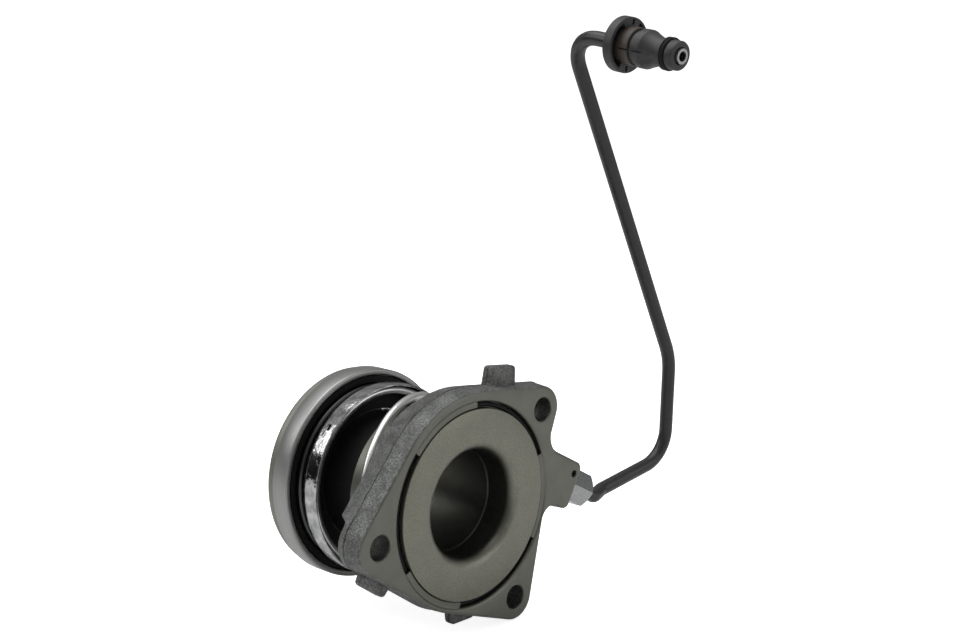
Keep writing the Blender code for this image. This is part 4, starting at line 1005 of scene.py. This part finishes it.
class SLAVE_OT_housing_seals(bpy.types.Operator):
    """Build the O-rings of the housing and the dust wiper."""

    bl_idname = "slave_cylinder.housing_seals"
    bl_label = "Housing Seals"

    def execute(self, context):
        face = round_ring("dressed_face_o_ring", 0.03205, 0.00205, 0.00075)
        dress(face, "black_rubber", "housing", ["face_o_ring"])
        inner = round_ring("dressed_sleeve_o_ring", 0.0250, 0.0039, 0.0009)
        dress(inner, "black_rubber", "housing", ["sleeve_o_ring"])
        profile = [(0.0223, 0.0284), (0.0223, 0.0280), (0.0230, 0.0270), (0.0248, 0.0270)]
        profile += [(0.0248, 0.0284), (0.0240, 0.0284), (0.0232, 0.0279)]
        wiper = turned_piece("dressed_dust_wiper", profile)
        dress(wiper, "black_rubber", "housing", ["dust_wiper"])
        return {"FINISHED"}


class SLAVE_OT_piston(bpy.types.Operator):
    """Build the ring piston and its lip seal."""

    bl_idname = "slave_cylinder.piston"
    bl_label = "Piston"

    def execute(self, context):
        start = PISTON_BOX[0].y
        end = PISTON_BOX[1].y
        profile = [(0.0189, start), (0.0218, start), (0.0220, start + 0.0002), (0.0220, 0.0484)]
        profile += [(0.0218, 0.0486), (0.0205, 0.0486), (0.0205, 0.0510), (0.0199, 0.0510)]
        profile += [(0.0199, 0.0523), (0.0205, 0.0523), (0.0205, end - 0.0002), (0.0203, end)]
        profile += [(0.0189, end)]
        piston = turned_piece("dressed_piston", profile)
        dress(piston, "black_plastic", "carriage", ["piston"])
        seal = [(0.0189, 0.0260), (0.0189, 0.0226), (0.0197, 0.0226), (0.01994, 0.0246)]
        seal += [(0.02126, 0.0246), (0.0215, 0.0226), (0.0223, 0.0226), (0.0223, 0.0260)]
        lip_seal = turned_piece("dressed_piston_seal", seal)
        dress(lip_seal, "black_rubber", "carriage", ["piston_seal"])
        return {"FINISHED"}


def drawn_path(name, points, radius, resolution=5):
    """A round bar that follows a drawn line of points."""
    piece = start_line(name, points[0])
    for here, there in zip(points, points[1:]):
        draw_to(here, there)
    bpy.ops.object.mode_set(mode="OBJECT")
    activate(piece)
    bpy.ops.object.convert(target="CURVE")
    line = bpy.context.object
    line.data.bevel_depth = radius
    line.data.bevel_resolution = resolution
    line.data.use_fill_caps = True
    bpy.ops.object.convert(target="MESH")
    bar = bpy.context.object
    bar.name = name
    bpy.ops.object.mode_set(mode="EDIT")
    face_outwards()
    return bar


def eased_share(value, start, end):
    """How far a value has gone from start to end, eased at both ends."""
    share = min(max((value - start) / (end - start), 0.0), 1.0)
    return share * share * (3.0 - 2.0 * share)


def spring_point(turn):
    """Centre of the spring wire after a turn, in degrees, from its first end.

    The wire draws in to the head's radius before it rises, so that the cup's
    wall passes outside it when the spring is pressed.
    """
    drawn_in = eased_share(turn, 230.0, 330.0)
    risen = eased_share(turn, 290.0, 510.0)
    radius = SPRING_FOOT_R + (SPRING_HEAD_R - SPRING_FOOT_R) * drawn_in
    y = SPRING_FOOT_Y + (SPRING_HEAD_Y - SPRING_FOOT_Y) * risen
    spot = polar(radius, math.radians(SPRING_START - turn))
    return Vector((spot.x, y, spot.y))


class SLAVE_OT_preload_spring(bpy.types.Operator):
    """Build the two-coil preload spring."""

    bl_idname = "slave_cylinder.preload_spring"
    bl_label = "Preload Spring"

    def execute(self, context):
        path = [spring_point(4.0 * i) for i in range(9, 201)]
        spring = drawn_path("dressed_preload_spring", path, SPRING_WIRE_R)
        dress(spring, "spring_steel", "housing", ["preload_spring"])
        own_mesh(spring)
        return {"FINISHED"}


class SLAVE_OT_spring_cup(bpy.types.Operator):
    """Build the polished spring cup and the ring seat inside it."""

    bl_idname = "slave_cylinder.spring_cup"
    bl_label = "Spring Cup"

    def execute(self, context):
        rim = CUP_BOX[0].y
        profile = [(0.0223, CUP_FLOOR_Y)]
        profile += curve_points((0.0287, 0.0443), 0.0026, 90.0, 0.0, 8)
        profile += [(0.0313, rim + 0.0003), (0.03145, rim + 0.0001), (0.0317, rim)]
        profile += [(0.03195, rim + 0.0001), (0.0321, rim + 0.0003)]
        profile += curve_points((0.0287, 0.0443), 0.0034, 0.0, 90.0, 10)
        profile += [(0.0223, CUP_FLOOR_Y + 0.0008)]
        cup = turned_piece("dressed_spring_cup", profile, 128)
        for number in range(3):
            angle = math.radians(CUP_SLOT_START + 120.0 * number)
            low = (0.0297, rim + 0.0033 - 0.00095, -0.0012)
            high = (0.0329, rim + 0.0033 + 0.00095, 0.0012)
            cut(cup, block("slot_tool", low, high, angle))
        dress(cup, "polished_steel", "carriage", ["spring_cup"])
        seat = [(0.0281, 0.0441), (0.0310, 0.0441), (0.0310, 0.0443), (0.0289, 0.0466)]
        seat += [(0.0229, 0.0466), (0.0229, 0.0462), (0.0281, 0.0460)]
        ring = turned_piece("dressed_spring_seat", seat)
        dress(ring, "black_plastic", "carriage", ["spring_seat"])
        return {"FINISHED"}


class SLAVE_OT_release_bearing(bpy.types.Operator):
    """Build the release bearing's rings and seals."""

    bl_idname = "slave_cylinder.release_bearing"
    bl_label = "Release Bearing"

    def execute(self, context):
        inner = [(0.0208, 0.0489), (0.0296, 0.0489)]
        inner += curve_points((0.0296, 0.0499), 0.0010, -90.0, 0.0, 5)[1:]
        inner += [(0.0306, 0.05216)]
        inner += curve_points(BALL_TRACK, BALL_TRACK_R, 275.0, 175.0, 12)
        inner += [(0.02555, 0.0571), (0.02355, 0.0571), (0.02355, 0.0517), (0.02295, 0.0509)]
        inner += [(0.0208, 0.0509)]
        ring = turned_piece("dressed_bearing_inner_ring", inner, 128)
        dress(ring, "race_steel", "carriage", ["bearing_inner_ring"])
        lip = OUTER_RING_BOX[0].y
        track = curve_points(BALL_TRACK, BALL_TRACK_R, 88.0, -18.0, 12)
        outer = [(0.0333, track[-1][1]), (0.0333, lip + 0.0006), (0.0336, lip + 0.00015)]
        outer += [(0.0339, lip)]
        outer += curve_points((0.0346, lip + 0.0008), 0.0008, -90.0, 0.0, 5)
        outer += [(0.0354, 0.0569), (0.0353, 0.05705), (0.0347, 0.05735), (0.0347, 0.0593)]
        outer += curve_points((0.0332, 0.05955), 0.0015, 0.0, 90.0, 8)[1:]
        outer += [(0.0300, 0.06145), (0.0240, 0.06145), (0.0224, 0.06065), (0.0216, 0.05985)]
        outer += [(0.0216, 0.05885), (0.0284, 0.05885)]
        outer += track
        ring = turned_piece("dressed_bearing_outer_ring", outer, 128)
        dress(ring, "ring_steel", "bearing_outer", ["bearing_outer_ring"])
        near = [(0.0309, 0.0509), (0.0330, 0.0506), (0.0330, 0.0516), (0.0309, 0.0516)]
        seal = turned_piece("dressed_bearing_near_seal", near)
        dress(seal, "black_rubber", "bearing_outer", ["bearing_near_seal"])
        far = [(0.0219, 0.05775), (0.0254, 0.05745), (0.0254, 0.05855), (0.0219, 0.05855)]
        seal = turned_piece("dressed_bearing_far_seal", far)
        dress(seal, "black_rubber", "bearing_outer", ["bearing_far_seal"])
        return {"FINISHED"}


class SLAVE_OT_tube_nut(bpy.types.Operator):
    """Build the tube nut in the port."""

    bl_idname = "slave_cylinder.tube_nut"
    bl_label = "Tube Nut"

    def execute(self, context):
        start = BOSS_END + 0.0003
        end = start + NUT_LENGTH
        corner = NUT_ACROSS_FLATS / math.sqrt(3.0)
        flats = [(0.0, start), (corner, start), (corner, end), (0.0, end)]
        nut = turned_piece("dressed_tube_nut", flats, 6)
        form = [(0.0, start), (0.0055, start), (corner, start + 0.0004), (corner, end - 0.0008)]
        form += [(0.0053, end), (0.0, end)]
        cut(nut, turned_piece("nut_form", form, 96), "INTERSECT")
        shank = [(0.0, 0.0334), (0.0037, 0.0334), (0.0042, 0.0339), (0.0042, end + 0.0003)]
        shank += [(0.0, end + 0.0003)]
        cut(nut, turned_piece("nut_shank", shank, 48), "UNION")
        bore = PIPE_R + PIPE_CLEARANCE
        hole = [(0.0, 0.030), (bore, 0.030), (bore, end + 0.002), (0.0, end + 0.002)]
        cut(nut, turned_piece("nut_hole", hole, 48))
        on_port(nut)
        dress(nut, "zinc_plate", "housing", ["tube_nut"])
        return {"FINISHED"}


def pipe_route():
    """Centre line of the pipe: straight runs joined by round bends."""
    start = PORT_ORIGIN + PORT_DIRECTION * PIPE_START
    stops = [start, PORT_ORIGIN + PORT_DIRECTION * PIPE_LEAD, *PIPE_CORNERS, PIPE_TIP]
    route = [start]
    for before, corner, after, radius in zip(stops, stops[1:], stops[2:], PIPE_BEND_RADII):
        back = (before - corner).normalized()
        ahead = (after - corner).normalized()
        turn = math.pi - back.angle(ahead)
        run = radius * math.tan(turn / 2.0)
        centre = corner + (back + ahead).normalized() * (radius / math.cos(turn / 2.0))
        spoke = corner + back * run - centre
        axis = back.cross(spoke).normalized()
        steps = max(4, round(turn / math.radians(5.0)))
        for k in range(steps + 1):
            route.append(centre + Matrix.Rotation(turn * k / steps, 3, axis) @ spoke)
    route.append(PIPE_TIP)
    return route


class SLAVE_OT_pressure_pipe(bpy.types.Operator):
    """Build the coated pressure pipe."""

    bl_idname = "slave_cylinder.pressure_pipe"
    bl_label = "Pressure Pipe"

    def execute(self, context):
        route = pipe_route()
        pipe = drawn_path("dressed_pressure_pipe", route, PIPE_R, 6)
        inward = (route[-2] - PIPE_TIP).normalized()
        outer_end = PIPE_TIP - inward * 0.002
        cut(pipe, rod("pipe_bore_tool", outer_end, PIPE_TIP + inward * 0.012, PIPE_BORE_R))
        dress(pipe, "black_coating", "housing", ["pressure_pipe"])
        return {"FINISHED"}


def on_connector(piece):
    """Turn a piece made along Y onto the free end of the pipe."""
    return stand_on(piece, PIPE_TIP, (PIPE_CORNERS[-1] - PIPE_TIP).normalized())


class SLAVE_OT_connector(bpy.types.Operator):
    """Build the connector and the bulkhead bush on the pipe's free end."""

    bl_idname = "slave_cylinder.connector"
    bl_label = "Pipe Connector"

    def execute(self, context):
        bore = PIPE_R + PIPE_CLEARANCE
        slit = CONNECTOR_SLIT_ANGLE
        nose = [(bore, 0.0008), (0.0040, 0.0008), (0.0043, 0.0009), (0.0045, 0.0013)]
        nose += [(0.0045, 0.0036), (bore, 0.0036)]
        piece = on_connector(turned_piece("dressed_connector_nose", nose, 64))
        dress(piece, "connector_plastic", "housing", ["connector_nose"])
        piece = on_connector(round_ring("dressed_connector_o_ring", 0.00445, 0.00445, 0.00065))
        dress(piece, "black_rubber", "housing", ["connector_o_ring"])
        barrel = [(bore, 0.0039), (0.0036, 0.0039), (0.0036, 0.0053), (0.0049, 0.0053)]
        barrel += [(0.00505, 0.00545), (0.00505, 0.0058), (0.0049, 0.0059), (0.0044, 0.0062)]
        barrel += [(0.0044, 0.0087), (0.0057, 0.0123), (0.00593, 0.0126), (0.0060, 0.0129)]
        barrel += [(0.0060, 0.0151), (0.0057, 0.0154), (bore, 0.0154)]
        piece = turned_piece("dressed_connector_barrel", barrel, 64)
        cut(piece, block("slit_tool", (0.0053, 0.0097, -0.0002), (0.0070, 0.0164, 0.0002), slit))
        dress(on_connector(piece), "connector_plastic", "housing", ["connector_barrel"])
        bush = [(bore, 0.0157), (0.0053, 0.0157), (0.0053, 0.0170), (0.0057, 0.0170)]
        bush += [(0.0060, 0.0173), (0.0060, 0.0212), (0.0083, 0.0212), (0.0086, 0.0215)]
        bush += [(0.0086, 0.0245), (0.0081, 0.0250), (bore, 0.0250)]
        piece = turned_piece("dressed_bulkhead_bush", bush, 96)
        recess = [(0.0059, 0.0202), (0.0077, 0.0202), (0.0077, 0.0236), (0.0075, 0.0238)]
        recess += [(0.0059, 0.0238)]
        for angle in (0.0, math.pi):
            cut(piece, partial_ring("recess_tool", recess, angle, math.radians(62.0)))
        for angle in (85.0, 268.0):
            low = (0.0063, 0.0202, -0.00045)
            high = (0.0080, 0.0232, 0.00045)
            cut(piece, block("notch_tool", low, high, math.radians(angle)))
        cut(piece, block("slit_tool", (0.0053, 0.0147, -0.0002), (0.0070, 0.0207, 0.0002), slit))
        dress(on_connector(piece), "connector_plastic", "housing", ["bulkhead_bush"])
        return {"FINISHED"}


class SLAVE_OT_inner_pieces(bpy.types.Operator):
    """Finish the hidden pieces that stay as the frame has them."""

    bl_idname = "slave_cylinder.inner_pieces"
    bl_label = "Inner Pieces"

    def execute(self, context):
        finishes = {"centring_washer": "spring_steel", "bearing_cage": "cage_plastic"}
        balls = ["ball_%02d" % number for number in range(1, 15)]
        for name in ("stop_ring", "piston_clip", *balls):
            finishes[name] = "ring_steel"
        for name, finish in finishes.items():
            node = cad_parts[name]
            for slot in node.material_slots:
                slot.material = finish_of(finish)
        return {"FINISHED"}


def soft_light(name, place, size, glow):
    """A square area light that faces the object, with the radiance of its cloth."""
    deselect_all()
    bpy.ops.object.light_add(type="AREA", location=place)
    light = bpy.context.object
    light.name = name
    light.data.size = size
    light.data.energy = glow * math.pi * size * size
    light.rotation_euler = (Vector(place) - LIT_POINT).to_track_quat("Z", "Y").to_euler()
    return light


def dark_card():
    """A matt black card beside the object that only its gloss sees."""
    deselect_all()
    bpy.ops.mesh.primitive_plane_add(size=1.0, location=(-0.55, 0.62, 0.02))
    card = bpy.context.object
    card.name = "dark_card"
    card.scale = (0.8, 0.44, 1.0)
    card.rotation_euler = Vector((0.66, -0.75, 0.0)).to_track_quat("Z", "Y").to_euler()
    card.visible_camera = False
    card.data.materials.append(Finish("card_black", (0.01, 0.01, 0.01), 0.9, 0.0, 0.1).material)
    return card


def studio_world():
    """White backdrop round a room that is dim at eye level and lighter above."""
    world = bpy.data.worlds.new("studio")
    world.use_nodes = True
    nodes = Nodes(world.node_tree)
    nodes.tree.nodes.remove(nodes.tree.nodes["Background"])
    direction = nodes.node("ShaderNodeTexCoord", output="Generated")
    height = nodes.node("ShaderNodeSeparateXYZ", None, {0: direction}, "Z")
    grey = nodes.node("ShaderNodeValToRGB", {"stops": ROOM_GREYS}, {"Fac": height}, "Color")
    room = nodes.node("ShaderNodeBackground", None, {"Color": grey})
    white = {"Color": (1.0, 1.0, 1.0, 1.0), "Strength": 1.05}
    backdrop = nodes.node("ShaderNodeBackground", None, white)
    seen = nodes.node("ShaderNodeLightPath", output="Is Camera Ray")
    choice = nodes.node("ShaderNodeMixShader", None, {0: seen, 1: room, 2: backdrop})
    nodes.feed(nodes.tree.nodes["World Output"].inputs["Surface"], choice)
    return world


def floor_paper():
    """White paper that glows faintly, so that the floor melts into the backdrop."""
    paper = Finish("floor_paper", (0.90, 0.90, 0.90), 0.8)
    paper.set("Emission Color", (1.0, 1.0, 1.0, 1.0))
    seen = paper.node("ShaderNodeLightPath", output="Is Camera Ray")
    paper.set("Emission Strength", seen * 0.85)
    return paper.material


class SLAVE_OT_stage(bpy.types.Operator):
    """Set the floor, the studio light and the camera."""

    bl_idname = "slave_cylinder.stage"
    bl_label = "Stage"

    def execute(self, context):
        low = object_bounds()[0]
        deselect_all()
        bpy.ops.mesh.primitive_plane_add(size=60.0, location=(0.0, 0.0, low[2] - 0.0002))
        floor = bpy.context.object
        floor.name = "floor"
        floor.data.materials.append(floor_paper())
        lights = [
            soft_light("top_light", (-0.1, 0.25, 1.0), 1.0, 2.0),
            soft_light("left_light", (-0.65, 0.75, 0.62), 0.45, 2.6),
            soft_light("front_light", (0.55, -0.85, 0.35), 0.6, 1.2),
        ]
        card = dark_card()
        context.scene.world = studio_world()
        context.scene.view_settings.view_transform = "Standard"
        bpy.ops.object.camera_add()
        camera = bpy.context.object
        camera.name = "photo_camera"
        turn = Matrix((CAMERA_RIGHT, CAMERA_UP, -CAMERA_AHEAD)).transposed().to_4x4()
        camera.matrix_world = Matrix.Translation(CAMERA_PLACE) @ turn
        camera.data.lens = 60.0
        camera.data.sensor_width = 36.0
        context.scene.camera = camera
        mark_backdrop(floor, card, *lights)
        return {"FINISHED"}


OPERATORS = (
    SLAVE_OT_finishes,
    SLAVE_OT_housing,
    SLAVE_OT_sleeve,
    SLAVE_OT_housing_seals,
    SLAVE_OT_piston,
    SLAVE_OT_preload_spring,
    SLAVE_OT_spring_cup,
    SLAVE_OT_release_bearing,
    SLAVE_OT_tube_nut,
    SLAVE_OT_pressure_pipe,
    SLAVE_OT_connector,
    SLAVE_OT_inner_pieces,
    SLAVE_OT_stage,
)


class SLAVE_PT_sidebar(bpy.types.Panel):
    """Lists the operators and the sizes and colours they read."""

    bl_idname = "SLAVE_PT_sidebar"
    bl_label = "Slave Cylinder"
    bl_space_type = "VIEW_3D"
    bl_region_type = "UI"
    bl_category = "Slave Cylinder"

    def draw(self, context):
        layout = self.layout
        for group in (context.scene.slave_housing_sizes, context.scene.slave_finish_colours):
            box = layout.box()
            for name in group.__annotations__:
                box.prop(group, name)
        for operator in OPERATORS:
            layout.operator(operator.bl_idname)


CLASSES = (Housing_Sizes, Finish_Colours, *OPERATORS, SLAVE_PT_sidebar)


def register():
    """Register the classes and the settings of the scene."""
    for item in CLASSES:
        bpy.utils.register_class(item)
    bpy.types.Scene.slave_housing_sizes = bpy.props.PointerProperty(type=Housing_Sizes)
    bpy.types.Scene.slave_finish_colours = bpy.props.PointerProperty(type=Finish_Colours)


def unregister():
    """Take the settings and the classes away again."""
    del bpy.types.Scene.slave_finish_colours
    del bpy.types.Scene.slave_housing_sizes
    for item in reversed(CLASSES):
        bpy.utils.unregister_class(item)


def main():
    """Build every piece and set the stage."""
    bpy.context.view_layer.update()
    register()
    bpy.ops.slave_cylinder.finishes()
    bpy.ops.slave_cylinder.housing()
    bpy.ops.slave_cylinder.sleeve()
    bpy.ops.slave_cylinder.housing_seals()
    bpy.ops.slave_cylinder.piston()
    bpy.ops.slave_cylinder.preload_spring()
    bpy.ops.slave_cylinder.spring_cup()
    bpy.ops.slave_cylinder.release_bearing()
    bpy.ops.slave_cylinder.tube_nut()
    bpy.ops.slave_cylinder.pressure_pipe()
    bpy.ops.slave_cylinder.connector()
    bpy.ops.slave_cylinder.inner_pieces()
    bpy.ops.slave_cylinder.stage()


if __name__ == "__main__":
    main()
